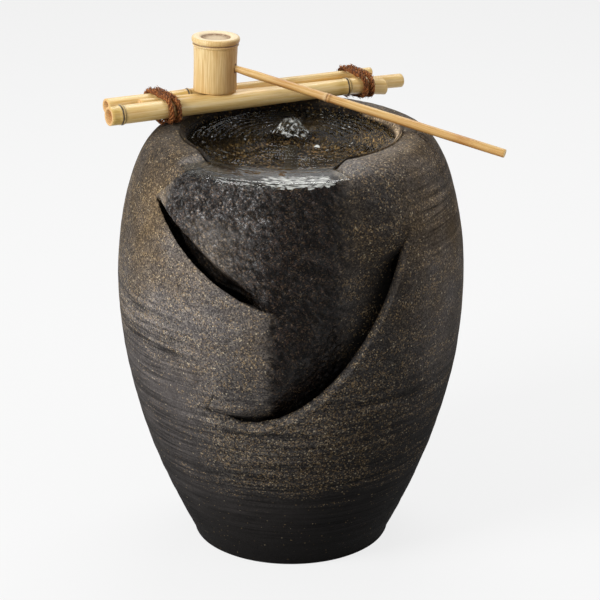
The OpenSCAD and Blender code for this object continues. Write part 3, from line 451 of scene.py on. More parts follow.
def rimLevel(a):  # 1 on the rim and 0 in the spill notch, with rounded ends
    a = (np.asarray(a, float) + 180) % 360 - 180
    right = rise(a, jar["notchRight"], jar["rampRight"])
    left = fall(a, jar["notchLeft"], jar["rampLeft"])
    return np.where(a > (jar["notchLeft"] + jar["notchRight"]) / 2, right, left)


# Marks left by the potter's fingers and comb: angle and height along each, width, depth
marks = [
    ([(92.1, 459.9), (86.3, 459.9), (81.4, 458.2), (80.1, 454), (78.2, 449.3)], 1.6, 2.2),
    ([(-80.8, 428.1), (-72.1, 419.7), (-65.6, 403.2)], 1.3, 1.1),
    ([(66.1, 459.6), (54.6, 458.9), (42.8, 454.5)], 1.4, -0.5),
    ([(52.7, 457.4), (44, 452.3), (37.9, 446.3)], 1.4, -0.5),
    ([(73.9, 449.3), (74.5, 433.4), (74.2, 417.9), (74.4, 396.3), (74.4, 374.6)], 2.0, 0.7),
    ([(79.5, 447), (79.8, 431), (79.2, 412), (79.0, 398)], 1.6, 0.5),
    ([(67.3, 413.3), (61.3, 411.1), (56.3, 407.9), (52.6, 399.5)], 1.8, 0.7),
    ([(-27.2, 59.4), (-27.0, 58.2)], 2.2, 1.4),
]
relief = {  # in mm
    "swells": [(1.0, 0, 70), (0.42, 300, 26), (0.22, 700, 9)],  # depth, start in the noise, size
    "combSize": 7.5, "combRun": 9, "scrapeSize": 6.5, "scrapeRun": 8, "scrapeDepth": 0.55,
    "beadWidth": 7.0, "beadUpWidth": 3.0, "beadLump": 3.1, "beadRough": 0.45, "beadSunk": 0.25,
    "grooveAt": 11, "grooveWidth": 3, "grooveDepth": 0.9, "jointWidth": 1.3, "jointDepth": 1.6,
}


def markDepth(points):
    depth = np.zeros(len(points))
    for line, width, deep in marks:
        near = np.full(len(points), np.inf)
        ends = [around(float(jarRadius(h)), t, h) for t, h in line]
        for p, q in zip(ends[:-1], ends[1:]):
            run = q - p
            t = ramp(((points - p) @ run) / (run @ run))
            near = np.minimum(near, np.linalg.norm(points - p - t[:, None] * run, axis=1))
        depth += deep * peak(near, 0, width)
    return depth


def clayDepth(base, z):  # how far the thrown and scraped surface lies inside the plain one
    run, stretch = relief["combRun"], relief["scrapeRun"]
    depth = sum(deep * hills(base + start, size) for deep, start, size in relief["swells"])
    depth += hills(base / (run, run, 1), relief["combSize"]) * (0.25 + 0.5 * fall(z, 230, 120))
    scraped = hills(base / (1, 1, stretch) + 90, relief["scrapeSize"]) * rise(z, 360, 50)
    return depth + scraped * relief["scrapeDepth"]


def nearSlit(points):  # for points of the jar: distance to the joint, its depth there, its side
    leftZ = np.concatenate([190 + 16 * np.linspace(0, 1, 200) ** 2.2, np.linspace(206.2, 448, 700)])
    rightZ = 190 + 258 * np.linspace(0, 1, 1500) ** 2
    z = np.concatenate([leftZ, rightZ])
    a = np.concatenate([leftAngle(leftZ), rightAngle(rightZ)])
    edgeDepth = np.maximum(fallDepth(a, z + 0.01), slitDepth(a, z))
    onLeft = (np.arange(len(z)) < len(leftZ)) & (z > 210)
    tree = KDTree(len(z))
    for k, point in enumerate(around(jarRadius(z), a, z)):
        tree.insert(point, k)
    tree.balance()
    pointA, pointZ = angleOf(points), points[:, 2]
    gap, deep, left = np.full(len(points), 99.0), np.zeros(len(points)), np.zeros(len(points))
    for k in np.nonzero((pointA > -75) & (pointA < 62) & (pointZ > 165) & (pointZ < 452))[0]:
        index, gap[k] = tree.find(points[k])[1:]
        deep[k], left[k] = edgeDepth[index], onLeft[index]
    return gap, deep, left


def lipDepth(gap, deep, left):  # the rounded edge of the jar at its slits
    r = np.where(left > 0.5, jar["lipLeft"], jar["lipRight"])
    q = np.maximum(r - gap, 0)
    return (r - np.sqrt(np.maximum(r * r - q * q, 0))) * smooth(deep / 5)


def beadShare(gap, left, z):  # the crumbly bead of clay along the lower slit, thinner up its side
    width = mix(relief["beadWidth"], relief["beadUpWidth"], rise(z, 200, 90))
    return (1 - rise(gap, width * 0.7, width * 0.5)) * (left < 0.5) * fall(z, 400, 60)


def profileNormal(r, z):
    dr, dz = np.gradient(r), np.gradient(z)
    length = np.hypot(dr, dz)
    return dz / length, -dr / length


def buildJar():
    # rows, closer together where a slit begins or ends
    lowRows = np.concatenate([np.linspace(5, 183.5, 58), [185.4, 187, 188.2, 189, 189.6, 190]])
    midRows = np.concatenate([
        190 + np.array([0.15, 0.5, 1, 1.7, 2.6, 3.8, 5.3, 7.2, 9.5, 12, 14.5, 16]),
        np.linspace(209, 317, 37), [318.3, 319.4, 320.4, 321, 321.5, 322.3, 323.6],
        np.linspace(326.5, 390.5, 22), [393], np.linspace(396, 417, 8),
        np.linspace(419.4, 448, 13)])
    footTurn, round_ = np.radians([0, 22.5, 45, 67.5]), jar["footRound"]
    footR = [40, 66, 88, *(float(jarRadius(round_)) - round_ * (1 - np.sin(footTurn)))]
    footZ = [0, 0, 0, *(round_ * (1 - np.cos(footTurn)))]
    turn = np.radians(np.linspace(68.02, 90, 12)[1:])
    topR = np.concatenate([mix(jar["rimOut"], jar["bellyRadius"], np.cos(turn)),
                           [129, 127, 125, 123, 121, 119.5, jar["rimIn"]]])
    topZ = np.concatenate([mix(jar["bellyHeight"], jar["height"], np.sin(turn)),
                           [460, 460, 460, 459.9, 459.8, 459.6, 459.4]])
    topZ = np.minimum(topZ, jar["height"] - 0.05)
    rowZ = np.concatenate([footZ, lowRows, midRows, topZ])
    rowR = np.concatenate([footR, jarRadius(lowRows), jarRadius(midRows), topR])
    normR, normZ = profileNormal(rowR, rowZ)
    wrapRow = len(footZ) + len(lowRows) - 1
    rimRow = wrapRow + 1 + len(midRows)

    # columns, from the panel's right edge round the back to its left edge
    edge = np.array([0, 0.5, 1.1, 1.9, 2.9, 4.2, 6])
    angles = []
    for k, (r, z) in enumerate(zip(rowR, rowZ)):
        at = np.clip(z, jar["slitLow"], jar["weir"])
        first, last = float(rightAngle(at)), 360 + float(leftAngle(at))
        if k >= rimRow:
            first, last = jar["notchRight"], 360 + jar["notchLeft"]
        scale = 1 / (math.radians(1) * r)
        span = (last - first) / scale
        inside = np.linspace(edge[-1], span - edge[-1], jar["columns"])[1:-1]
        angles.append(first + scale * np.concatenate([edge, inside, span - edge[::-1]]))
    angles = np.array(angles)
    rows, cols = angles.shape
    gridZ, gridR = asRows(rowZ, cols), asRows(rowR, cols)
    gridZ[rimRow:] = mix(jar["weir"], gridZ[rimRow:], rimLevel(angles[rimRow:]))
    base = around(gridR, angles, gridZ).reshape(-1, 3)
    normal = around(asRows(normR, cols), angles, asRows(normZ, cols)).reshape(-1, 3)
    z = gridZ.ravel()
    gap, deep, left = nearSlit(base)
    depth = clayDepth(base, z) * smooth(z / 14) + markDepth(base)
    groove = peak(gap, relief["grooveAt"], relief["grooveWidth"]) * (left < 0.5) * (z < 330)
    depth += relief["grooveDepth"] * groove
    bead = relief["beadSunk"] + relief["beadRough"] * hills(base + 35, relief["beadLump"])
    depth = mix(depth, bead, beadShare(gap, left, z))
    depth = np.maximum(depth, leastDepth) + lipDepth(gap, deep, left)
    depth += relief["jointDepth"] * peak(gap, 0, relief["jointWidth"]) * (z < 222)
    points = base - normal * depth[:, None]

    # the inner wall, which follows the joint, cut back under the lip at the upper slit
    outer = numbered(rows, cols)
    outer[:wrapRow + 1, -1] = outer[:wrapRow + 1, 0]
    rowPick = [*range(7, wrapRow, 6), wrapRow, *range(wrapRow + 3, rimRow - 1, 5), rimRow - 1,
               rimRow + 4, rimRow + 10, rows - 1]
    colPick = sorted({*range(0, cols, 5), cols - 1})
    floorR, floorZ = np.array([60.0, float(jarRadius(jar["floor"])) - jar["wall"]]), jar["floor"]
    inner = [around(np.full(len(colPick), r), angles[rowPick[0], colPick], floorZ) for r in floorR]
    for k in rowPick[1:]:
        wall = jar["wall"] if k < rimRow else jar["rimWall"]
        line = angles[k, colPick]
        if jar["fallLow"] < rowZ[k] < jar["fallTop"]:
            back = 8 * rise(rowZ[k], jar["fallLow"], 25)
            line = line - back * ramp(1 - (line[-1] - line) / 24)
        if k == rows - 1:
            inner.append(around(jar["rimIn"], line, gridZ[k, colPick] - jar["rimWall"]))
        else:
            inner.append(around(rowR[k] - wall * normR[k], line,
                                gridZ[k, colPick] - wall * normZ[k]))
    innerGrid = numbered(len(inner), len(colPick), rows * cols)
    rowPick = [rowPick[0] - 1] + rowPick
    wrapped = np.array(rowPick) <= wrapRow
    innerGrid[wrapped, -1] = innerGrid[wrapped, 0]
    faces = shellFaces(outer, innerGrid, rowPick, colPick, wrapRow)
    faces += [outer[0, :-1].tolist()[::-1], innerGrid[0, :-1].tolist()]
    return np.concatenate([points] + inner), faces


def cutServiceWindow(piece):  # the opening at the back, where the pump goes in
    width, height, middle, corner = jar["window"].values()
    turn = np.radians(np.arange(4)[:, None] * 90 + np.linspace(0, 90, 9)).ravel()
    x = np.repeat([1, -1, -1, 1], 9) * (width / 2 - corner) + corner * np.cos(turn)
    z = np.repeat([1, 1, -1, -1], 9) * (height / 2 - corner) + corner * np.sin(turn)
    rings = [np.stack([x * grow, np.full(len(x), float(y)), middle + z * grow], -1)
             for y, grow in ((90, 1.0), (181, 1.0), (184, 1.012), (186, 1.03), (210, 1.2))]
    grid = numbered(len(rings), len(x))
    faces = quads(grid, closed=True, flip=True) + [grid[0].tolist(), grid[-1, ::-1].tolist()]
    cutAway(piece, makePiece("window_cutter", np.concatenate(rings), faces,
                             piece.data.materials[0]))


clayLook = {
    "grain": 1.3, "dryRough": 0.9, "wetRough": 0.25, "gloss": 0.08, "bump": 1.0,
    "bumpSize": 1.5, "bumpDepth": 0.9, "filmRough": 0.09, "filmIor": 1.5,
    "fewest": 0.99, "most": 0.72, "wetCrumbs": 0.08, "dent": 6.2, "dentDepth": 4.6,
    "combScale": (8, 8, 210), "combTone": 0.6, "combHeight": 0.8, "combAskew": 7,
    "warpsPerMetre": 700, "warp": 0.0009, "cloudsPerMetre": 24, "driftScale": (16, 16, 75),
    "dentAskew": -38, "dentLength": 2.1, "crumbFade": 0.42,
    "crumbStops": [(0.0, "#4a3a22"), (0.5, "#7b6340"), (0.85, "#a58b62"), (1.0, "#d0c2a5")],
    "dryStops": [(0.0, "#262221"), (0.07, "#4a4644"), (0.35, "#66615f"), (0.62, "#7a7472"),
                 (0.82, "#928b85"), (0.94, "#a9a092"), (1.0, "#c8bda8")],
    "wetStops": [(0.0, "#040303"), (0.5, "#150f0c"), (0.8, "#2b1e17"), (0.94, "#453226"),
                 (1.0, "#65513b")],
    "warmTint": "#fae3bd", "paleColour": "#625f5b",
    "wetEdge": ([150, 215, 268, 332, 383, 444], [26, 27, 20, 18.6, 19.6, 21.9]),  # height, angle
}


def toneOf(points, onPanel):
    # red: wet, green: warm, blue: level, partly painted shade and light, alpha: pale
    a, z = angleOf(points), points[:, 2]
    front = fall(np.abs(a), 160, 40)
    wet = np.zeros(len(points))
    if onPanel:
        wobble = lumps(points, 30) * 0.6 + lumps(points, 9) * 0.5
        fine = lumps(points + 200, 3.2)
        leftLine = np.where(z > 322, -90, mix(-7.5, -14, fall(z, 205, 20)))
        rightLine = np.interp(z, *clayLook["wetEdge"])
        wet = smooth((a - leftLine + wobble * 1.5 + fine * 1.8) / 5.5 + 0.5)
        wet *= smooth((rightLine - a + wobble * 3 + fine * 3) / 13 + 0.5)
        wet *= 1 - 0.8 * fall(a - wobble * 2, -47, 6) * rise(z, 400, 20)  # the dry upper corner
        # a less wet, lighter patch left of the middle of the face: painted sheen
        wet *= 1 - 0.3 * peak(a, -27, 9) * rise(z, 335, 20) * fall(z, 414, 14)
    warm = ramp(0.12 + 0.35 * fall(a, -40, 20) * front * rise(z, 290, 60)
                + 0.3 * rise(z, 300, 120) + 0.2 * rise(a, 20, 50)
                + 0.45 * lumps(points + 50, 75) + 0.3 * lumps(points + 10, 22))
    warm *= rise(z, 170, 170)

    # the level falls towards the foot and the right, partly the clay's own darker foot and partly
    # painted shade away from the lamps at the upper left; then come its smaller changes: painted
    # shade and light at the edges and shoulders, darker or lighter single parts, and random tone
    middle = rise(a, -50, 50) * (1 - 0.6 * rise(a, 40, 30)) * front
    level = 0.8075 * mix(0.08, 1.0, smooth((z + 5) / mix(350, 400, middle)))
    side = rise(a, -34, 58) * front * (1 - 0.85 * rise(a, 34, 30) * rise(z, 150, 150))
    level *= mix(1, 0.31, side * fall(z, 464, 34))
    deep = shadeIn(a, z) * onPanel
    for change in (
            -0.3 * rise(z, 425, 18) * (a < -30) * front,  # below the left rim
            -0.24 * fall(a, -46, 26) * front,  # the left edge
            -0.2 * fall(a, -8, 5) * rise(z, 190, 30) * fall(z, 330, 30) * onPanel,  # the bridge
            -0.22 * rise(a, 22, 6) * rise(z, 320, 20) * onPanel,  # the panel's dry side
            0.18 * rise(a, 30, 10) * rise(z, 370, 30) * fall(a, 74, 12),  # the right shoulder
            0.07 * fall(a, -18, 14) * rise(z, 120, 60) * rise(a, -64, 8),  # the lit left side
            -0.2 * rise(a, 50, 22) * front,  # the right edge
            0.13 * lumps(points / (14, 14, 1) + 60, 6) * fall(z, 300, 120),
            0.1 * lumps(points + 400, 14) + 0.1 * lumps(points + 500, 42),
            # painted shade deep in the two slits
            -0.86 * deep):
        level *= 1 + change

    # pale: the rim is paler, and so is the inside of the mouth on the right, which is also lighter;
    # on the wet face pale is how thick the water runs
    pale = 0.55 * rise(z, 454, 5) * (0.7 + 0.6 * lumps(points, 12))
    inner = fall(reachOf(points), 130, 8) * rise(z, 447, 6)
    pale = np.maximum(pale, 0.28 * inner * rise(a, 10, 8) * fall(a, 115, 20))
    level = mix(level, np.maximum(level, 0.55), inner * rise(a, 14, 6) * fall(a, 60, 16))
    if onPanel:
        film = rise(z, 312, 36) * fall(a, 3, 30) * (1.9 + 0.8 * lumps(points, 13))
        film = np.maximum(film, 0.2 + 0.16 * lumps(points + 33, 16)) * (1 - deep)
        pale = mix(pale, film, smooth(wet / 0.5))
    return np.stack([ramp(wet), ramp(warm), np.maximum(level, 0.02), ramp(pale)], -1)


def combOf(points):  # where the potter's comb went round: low on the body and on the right shoulder
    a, z = angleOf(points), points[:, 2]
    low = fall(z - 70 * fall(a, -25, 20), 275, 70) * rise(z, 20, 40)
    shoulder = rise(a, 40, 20) * rise(z, 330, 40) * fall(z, 454, 8)
    return ramp(np.maximum(low, 0.8 * shoulder) * (0.75 + 0.7 * lumps(points + 600, 60)))


def crumbsOf(points):  # more crumbs than usual in the drift below the lower slit, fewer at the foot
    a, z = angleOf(points), points[:, 2]
    drift = rise(a, -34, 20) * fall(a, 46, 22) * rise(z, 96, 34)
    drift *= fall(z - 1.4 * np.maximum(a, 0), 235, 30)
    few = 0.3 * fall(z, 125, 75) + 0.15 * fall(a, -24, 22) * fall(z, 275, 60)
    return 0.2 * drift * (1 + 0.6 * lumps(points + 800, 30)) - few - 0.05 * rise(a, 40, 20)


def jarToneOf(points):  # the clay's tone, with the bead, the pale lip, the cut edge and the inside
    tone = toneOf(points, False)
    a, z = angleOf(points), points[:, 2]
    gap, _, left = nearSlit(points)
    bead = beadShare(gap, left, z) * rise(z, 178, 8) * ramp(0.75 + 0.6 * lumps(points + 35, 3.1))
    up = rise(z, 195, 80)
    tone[:, 3] = np.maximum(tone[:, 3], mix(0.28, 0.3, up) * bead)
    tone[:, 2] = mix(tone[:, 2], mix(0.4, 0.27, up), bead)
    rightLip, leftLip = rise(a, 17, 4) * fall(a, 40, 10), rise(a, -54, 4) * fall(a, -42, 3)
    lip = np.maximum(0.8 * rightLip, leftLip) * rise(z, 448, 4)
    tone[:, 1] *= 1 - lip
    tone[:, 3] = np.maximum(tone[:, 3], lip * (0.8 + 0.5 * lumps(points + 80, 7)))
    tone[:, 2] = mix(tone[:, 2], np.maximum(tone[:, 2], 0.75 + 0.25 * leftLip), lip)
    # painted shade along the slit's edge low down, where it hooks
    tone[:, 2] *= 1 - 0.9 * peak(gap, 0, 2) * (z < 222)
    # painted shade on the cut face of the slits and on the inside of the wall
    inside = fall(reachOf(points), jarRadius(z) - 5.5, 2.5)
    tone[:, 2] *= mix(1, 0.3, inside * (z < 440) * (z > 20))
    return tone


stoneware = stonewareMaterial("fired_stoneware", clayLook)
jarPiece = makePiece("jar", *buildJar(), stoneware)
cutServiceWindow(jarPiece)
jarPiece.data.set_sharp_from_angle(angle=math.radians(40))
jarPoints = vertexPoints(jarPiece)
store(jarPiece, "tone", jarToneOf(jarPoints))
store(jarPiece, "comb", combOf(jarPoints))
store(jarPiece, "crumbs", crumbsOf(jarPoints))
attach(jarPiece, "vessel")
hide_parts("jar_body")
print("jar:", len(jarPiece.data.polygons), "faces")


# The panel that the water runs down, flush with the jar at its joints and sunk at its two slits

panel = {"wall": 9, "low": 177, "lowAngle": -17, "tuck": 5, "tuckUnder": 6, "columns": 172}


def panelLeft(z):
    u = fallShare(z)
    tucked = np.maximum(leftAngle(z) - panel["tuck"] * ramp((u - 0.2) / 0.1),
                        mix(jar["fallLowAngle"], jar["fallTopAngle"], 0.9))
    under = (u >= 0.2) & (u <= 0.9) & (z > jar["fallLow"]) & (z < jar["fallTop"])
    return np.where(z < 192, -20 + (192 - z) * 0.3, np.where(under, tucked, leftAngle(z)))


def panelRight(z):
    low = mix(panel["lowAngle"], jar["slitTopAngle"],
              ramp((z - panel["low"]) / 203) ** jar["slitBend"])
    low = np.where(z < 250, low, jar["slitEndAngle"])
    tucked = rightAngle(z) + panel["tuckUnder"] * ramp((355 - z) / 36)
    return np.where(z > jar["slitTop"], rightAngle(z), np.maximum(low, tucked))


def flowDepth(base):  # the film of water stands in small lumps and runs in slanting streaks
    wet = toneOf(base, True)[:, 0]
    slant = np.stack([base[:, 0] + 0.55 * base[:, 2], base[:, 1], base[:, 2] * 0.36], -1)
    rough = 1.0 * lumps(base + 40, 4.2) + 0.8 * lumps(slant + 20, 3.6) + 0.4 * lumps(base, 11)
    return rough * (0.15 + 0.85 * wet)


def buildPanel():
    coarse = np.concatenate([
        190 + np.array([0, 0.5, 1.7, 3.8, 7.2, 12, 16]), np.linspace(209, 317, 37),
        [319.4, 321, 323.6], np.linspace(326.5, 390.5, 22), [393], np.linspace(396, 417, 8),
        np.linspace(419.4, 446, 12)])
    fine = np.sort(np.concatenate([coarse, (coarse[1:] + coarse[:-1]) / 2]))
    faceZ = np.concatenate([[panel["low"], 179, 181, 183.5, 186, 188], fine])
    lipR = [152.3, 150.8, 149, 147, 145, 142.5, 139.5, 136, 132.5, 129, 125.5, 122, jar["rimIn"]]
    rowZ = np.concatenate([faceZ, [446.9, 447.4, 447.8], np.full(10, jar["weir"])])
    rowR = np.concatenate([jarRadius(faceZ), lipR])
    normR, normZ = profileNormal(rowR, rowZ)
    first, cols = len(faceZ), panel["columns"]
    share = np.linspace(0, 1, cols)
    share = share - 0.045 * np.sin(fullTurn * share)
    left, right = panelLeft(rowZ), panelRight(rowZ)
    left[first:], right[first:] = jar["notchLeft"], jar["notchRight"]
    a = mix(left[:, None], right[:, None], share)
    z, r = asRows(rowZ, cols), asRows(rowR, cols)
    recess = np.maximum(fallDepth(a, z), slitDepth(a, z))
    recess[first:] = 0
    base = around(r, a, z).reshape(-1, 3)
    normal = around(asRows(normR, cols), a, asRows(normZ, cols)).reshape(-1, 3)
    edge = (np.minimum(share, 1 - share) * (right - left)[:, None]).ravel()
    depth = clayDepth(base, z.ravel()) + markDepth(base) + flowDepth(base) * smooth(edge / 2.5)
    depth = np.maximum(depth, leastDepth)[:, None]
    points = around(r - recess, a, z).reshape(-1, 3) - normal * depth

    rows = len(rowZ)
    outer = numbered(rows, cols)
    rowPick = [*range(0, rows - 14, 6), rows - 9, rows - 1]
    colPick = sorted({*range(0, cols, 6), cols - 1})
    inner = []
    for k in rowPick:
        nr, nz = (1.0, 0.0) if rowZ[k] < 400 else (normR[k], normZ[k])
        if k == rows - 1:
            nr, nz = 0.0, 1.0
        inner.append(around(rowR[k] - recess[k, colPick] - panel["wall"] * nr, a[k, colPick],
                            rowZ[k] - panel["wall"] * nz))
    innerGrid = numbered(len(inner), len(colPick), rows * cols)
    faces = shellFaces(outer, innerGrid, rowPick, colPick, 0)
    faces += edgeFaces(outer[0], innerGrid[0], colPick, flip=True)
    return np.concatenate([points] + inner), faces


wetLook = dict(clayLook, gloss=0.07, bumpSize=2.0, bumpDepth=0.7)
wetStoneware = stonewareMaterial("wet_stoneware", wetLook)
panelPiece = makePiece("fall_face", *buildPanel(), wetStoneware)
store(panelPiece, "tone", toneOf(vertexPoints(panelPiece), True))
store(panelPiece, "comb", combOf(vertexPoints(panelPiece)) * 0.5)
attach(panelPiece, "vessel")
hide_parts("fall_panel")
print("panel:", len(panelPiece.data.polygons), "faces")


# The basin in the jar's mouth, with the rings that the potter's fingers left

bowl = {
    "ringStep": 7.5, "ringDepth": 0.9, "rows": 96, "columns": 220, "underStep": 5,
    "section": [(118, 459.4), (116.5, 459.0), (115, 458.2), (113.6, 457), (112.4, 455.2),
                (111.3, 452.6), (110.5, 450), (110, 448), (107, 430.3), (101, 415.7),
                (94, 410.6), (85.8, 407.6), (72, 406), (13, 406)],
    "under": [(13, 397), (72, 397), (101, 405), (110, 413), (117.6, 430), (118, 446)],
}
bowlR, bowlZ = np.transpose(bowl["section"])


def buildBasin():
    n, rows, step = bowl["columns"], bowl["rows"], bowl["underStep"]
    steps = np.hypot(np.diff(bowlR), np.diff(bowlZ))
    run = np.concatenate([[0], np.cumsum(steps)])
    at = np.linspace(0, run[-1], rows)
    rowR, rowZ = (np.convolve(np.pad(np.interp(at, run, line), 2, "edge"),
                              [0.1, 0.2, 0.4, 0.2, 0.1], "valid") for line in (bowlR, bowlZ))
    rowR[0], rowZ[0] = bowlR[0], bowlZ[0]
    normR, normZ = profileNormal(rowR, rowZ)
    turn = np.arange(n) * 360 / n
    a, r, z = np.tile(turn, (rows, 1)), asRows(rowR, n), asRows(rowZ, n)
    z = np.where(z > jar["weir"], mix(jar["weir"], z, rimLevel(a)), z)
    base = around(r, a, z).reshape(-1, 3)
    normal = around(asRows(-normR, n), a, asRows(-normZ, n)).reshape(-1, 3)
    along = asRows(at, n).ravel()
    spiral = along / bowl["ringStep"] + a.ravel() / 360 + 0.35 * lumps(base, 60)
    rings = bowl["ringDepth"] * (0.5 + 0.5 * np.sin(fullTurn * spiral)) * smooth(along / 14)
    depth = clayDepth(base, z.ravel()) * (1 - 0.5 * smooth(along / 10)) + rings
    depth *= rise(r.ravel(), 14, 6)
    points = base - normal * np.maximum(depth, leastDepth)[:, None]
    under = [around(float(r), turn[::step], float(z)) for r, z in bowl["under"]]
    outer, low = numbered(rows, n), numbered(len(under), n // step, rows * n)
    faces = quads(outer, closed=True, flip=True) + quads(low, closed=True, flip=True)
    outer, low = np.append(outer, outer[:, :1], 1), np.append(low, low[:, :1], 1)
    picks = range(0, n + 1, step)
    hole, rim = edgeFaces(outer[-1], low[0], picks), edgeFaces(outer[0], low[-1], picks)
    for k in range(n // step):
        first, *strip, last = hole[k]
        faces.append([*strip[::-1], first, last])
        first, *strip, last = rim[k]
        faces.append([*strip, last, first])
    return np.concatenate([points] + under), faces


def basinToneOf(points):  # wet below the water, and its rings catch the light on the right
    tone = toneOf(points, False)
    a, z = angleOf(points), points[:, 2]
    # painted light: the right wall and the floor are lighter, most on the ridges of the rings
    side = rise(a, 25, 45) * fall(a, 150, 40)
    ring = 0.5 + 0.5 * np.sin(fullTurn * (
        reachOf(points) / bowl["ringStep"] + a / 360 + 0.5 * lumps(points, 45)))
    wetTop = np.where(side > 0.3, 453, 457.5)
    bottom = fall(z, 424, 10) * (0.75 + 0.6 * lumps(points + 70, 38))
    paintedLight = np.maximum(side, 0.8 * bottom) * mix(0.12, 1.25, ring)
    wet = smooth((wetTop - z + lumps(points, 25)) / 3)
    level = 0.2 + mix(1.9, 2.9, wet) * paintedLight
    return np.stack([wet, np.maximum(tone[:, 1], 0.8), level, 0 * z], -1), paintedLight


basinLook = dict(clayLook, gloss=0.1, grain=1.7, fewest=0.9, most=0.6, wetCrumbs=0.8,
                 wetStops=[(0.0, "#080605"), (0.5, "#1a130c"), (0.85, "#3d2d19"), (1.0, "#8a6a3a")],
                 crumbStops=[(0.0, "#2c2010"), (0.6, "#5f4a26"), (1.0, "#a88a52")])
basinPiece = makePiece("basin", *buildBasin(), stonewareMaterial("basin_stoneware", basinLook))
fixNormals(basinPiece)
basinTone, basinPaintedLight = basinToneOf(vertexPoints(basinPiece))
store(basinPiece, "tone", basinTone)
store(basinPiece, "comb", np.full(len(basinPaintedLight), 0.3))
store(basinPiece, "crumbs", 0.34 * ramp(basinPaintedLight * 1.3) - 0.28)
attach(basinPiece, "vessel")
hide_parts("basin_bowl")
print("basin:", len(basinPiece.data.polygons), "faces")


# The water: a pool with a low jet in its middle, and the film that slides over the spill edge

pool = {
    "level": 449.7, "jetHeight": 19, "jetRadius": 18.5, "ripple": 0.75, "rippleLength": 8.5,
    "bubble": (27, -33), "columns": 300, "edge": 108, "sunk": 2.6, "underside": 446,
    "deepest": 403.4, "lean": 52,
    "lip": [111, 114, 117, 120, 124, 128, 132, 136, 139.5, 142.5, 145, 147, 148.6],
    "face": [447.5, 447.0, 446.3, 445.4, 444.3, 443, 441.5, 439.8, 438],
}


def poolHeight(x, y):
    r = np.hypot(x, y)
    flat = np.stack([x, y, 0 * x], -1)
    mound = np.exp(-(r / (pool["jetRadius"] * (1 + 0.2 * lumps(flat + 9, 20)))) ** 2.2)
    jet = pool["jetHeight"] * mound * (1 + 0.28 * lumps(flat + 19, 15))
    jet += (3.6 * lumps(flat + 77, 11) + 0.9 * lumps(flat + 3, 5.5)) * np.exp(-(r / 24) ** 4)
    jet -= 1.6 * peak(r, 31, 6)
    warp = r + 2.6 * lumps(flat + 31, 34)
    waves = pool["ripple"] * np.sin(fullTurn * warp / pool["rippleLength"]) * rise(r, 26, 12)
    waves *= 0.55 + 0.5 * lumps(flat + 55, 40)
    waves += 0.28 * lumps(flat + 13, 11) + 0.13 * lumps(flat + 5, 5)
    bubbleX, bubbleY = pool["bubble"]
    bubble = 2.6 * np.exp(-((x - bubbleX) ** 2 + (y - bubbleY) ** 2) / 7.5)
    return pool["level"] + jet + waves + bubble


def buildWater():
    n, edge = pool["columns"], pool["edge"]
    a = -180 + np.arange(n) * 360 / n
    ringR = np.concatenate([np.linspace(0.8, 36, 40), np.linspace(37.4, edge, 46)])
    lip, faceZ = pool["lip"], pool["face"]
    spill = ((a > -52) & (a < 27))[:, None]
    flowing = rise(a, -46, 7) * fall(a, 21, 6)
    tops, lows = [], []
    for r in ringR:  # the pool
        x, y = around(r, a, 0)[:, :2].T
        tops.append(np.stack([x, y, poolHeight(x, y)], -1))
        bed = np.interp(r, bowlR[::-1], bowlZ[::-1]) - pool["sunk"]
        lows.append(around(r, a, min(bed, pool["underside"])))
    for k, r in enumerate(lip):  # over the panel's lip
        x, y = around(r, a, 0)[:, :2].T
        out = rise(r, 120, 20)
        lane = np.stack([a * 2.4, np.full(n, r * 0.35), 0 * a], -1)
        z = mix(poolHeight(x, y), pool["level"], out) - 1.5 * rise(r, 136, 14)
        z += 0.3 * lumps(lane, 5.0) * rise(r, 112, 16)
        tops.append(np.stack([x, y, z], -1))
        lows.append(around(r, a, pool["underside"] - 1.0))
    for k, z in enumerate(faceZ):  # down the panel's face, thinning out
        base = around(float(jarRadius(z)), a, z)
        tilt = math.radians(pool["lean"] * part(z, 400, jar["weir"]))
        normal = around(math.cos(tilt), a, math.sin(tilt))
        lane = np.stack([a * 2.6, np.full(n, z * 0.3), 0 * a], -1)
        down = k / len(faceZ)
        film = (0.9 + 0.7 * lumps(lane, 5.0)) * (1 - smooth(down * 1.1)) * flowing
        film -= 0.9 * (1 - flowing) + 1.5 * smooth(down * 1.3 - 0.2)
        tops.append(base + normal * (film - clayDepth(base, np.full(n, z)))[:, None])
        lows.append(base - normal * 4.5)
    for k in range(len(lip) + len(faceZ)):  # elsewhere these rows fold up at the pool's edge
        row, tucked = len(ringR) + k, edge + 0.25 * (k + 1)
        tops[row] = np.where(spill, tops[row], around(tucked, a, 449.6))
        lows[row] = np.where(spill, lows[row], around(tucked, a, pool["underside"] - 0.02 * k))
    total = len(tops)
    grid = np.pad(numbered(total, n), ((0, 0), (0, 1)), "wrap")
    under = grid + total * n
    top, bottom = 2 * total * n, 2 * total * n + 1
    centre = [[0, 0, float(poolHeight(np.zeros(1), np.zeros(1))[0])], [0, 0, pool["deepest"]]]
    faces = quads(grid, flip=True) + quads(under, flip=True)
    for k in range(n):
        faces.append([top, grid[0, k], grid[0, k + 1]])
        faces.append([bottom, under[0, k + 1], under[0, k]])
        faces.append([grid[-1, k], under[-1, k], under[-1, k + 1], grid[-1, k + 1]])
    return np.concatenate(tops + lows + [centre]), faces


waterLook = {
    "clear": "#eef4f2", "through": "#f4f7f6", "rough": 0.03, "ior": 1.333, "paintedGlint": "#dfe0da",
    "glintRough": 0.3, "glintFrom": 0.97, "glintTo": 1.2, "glintMost": 0.9,
}


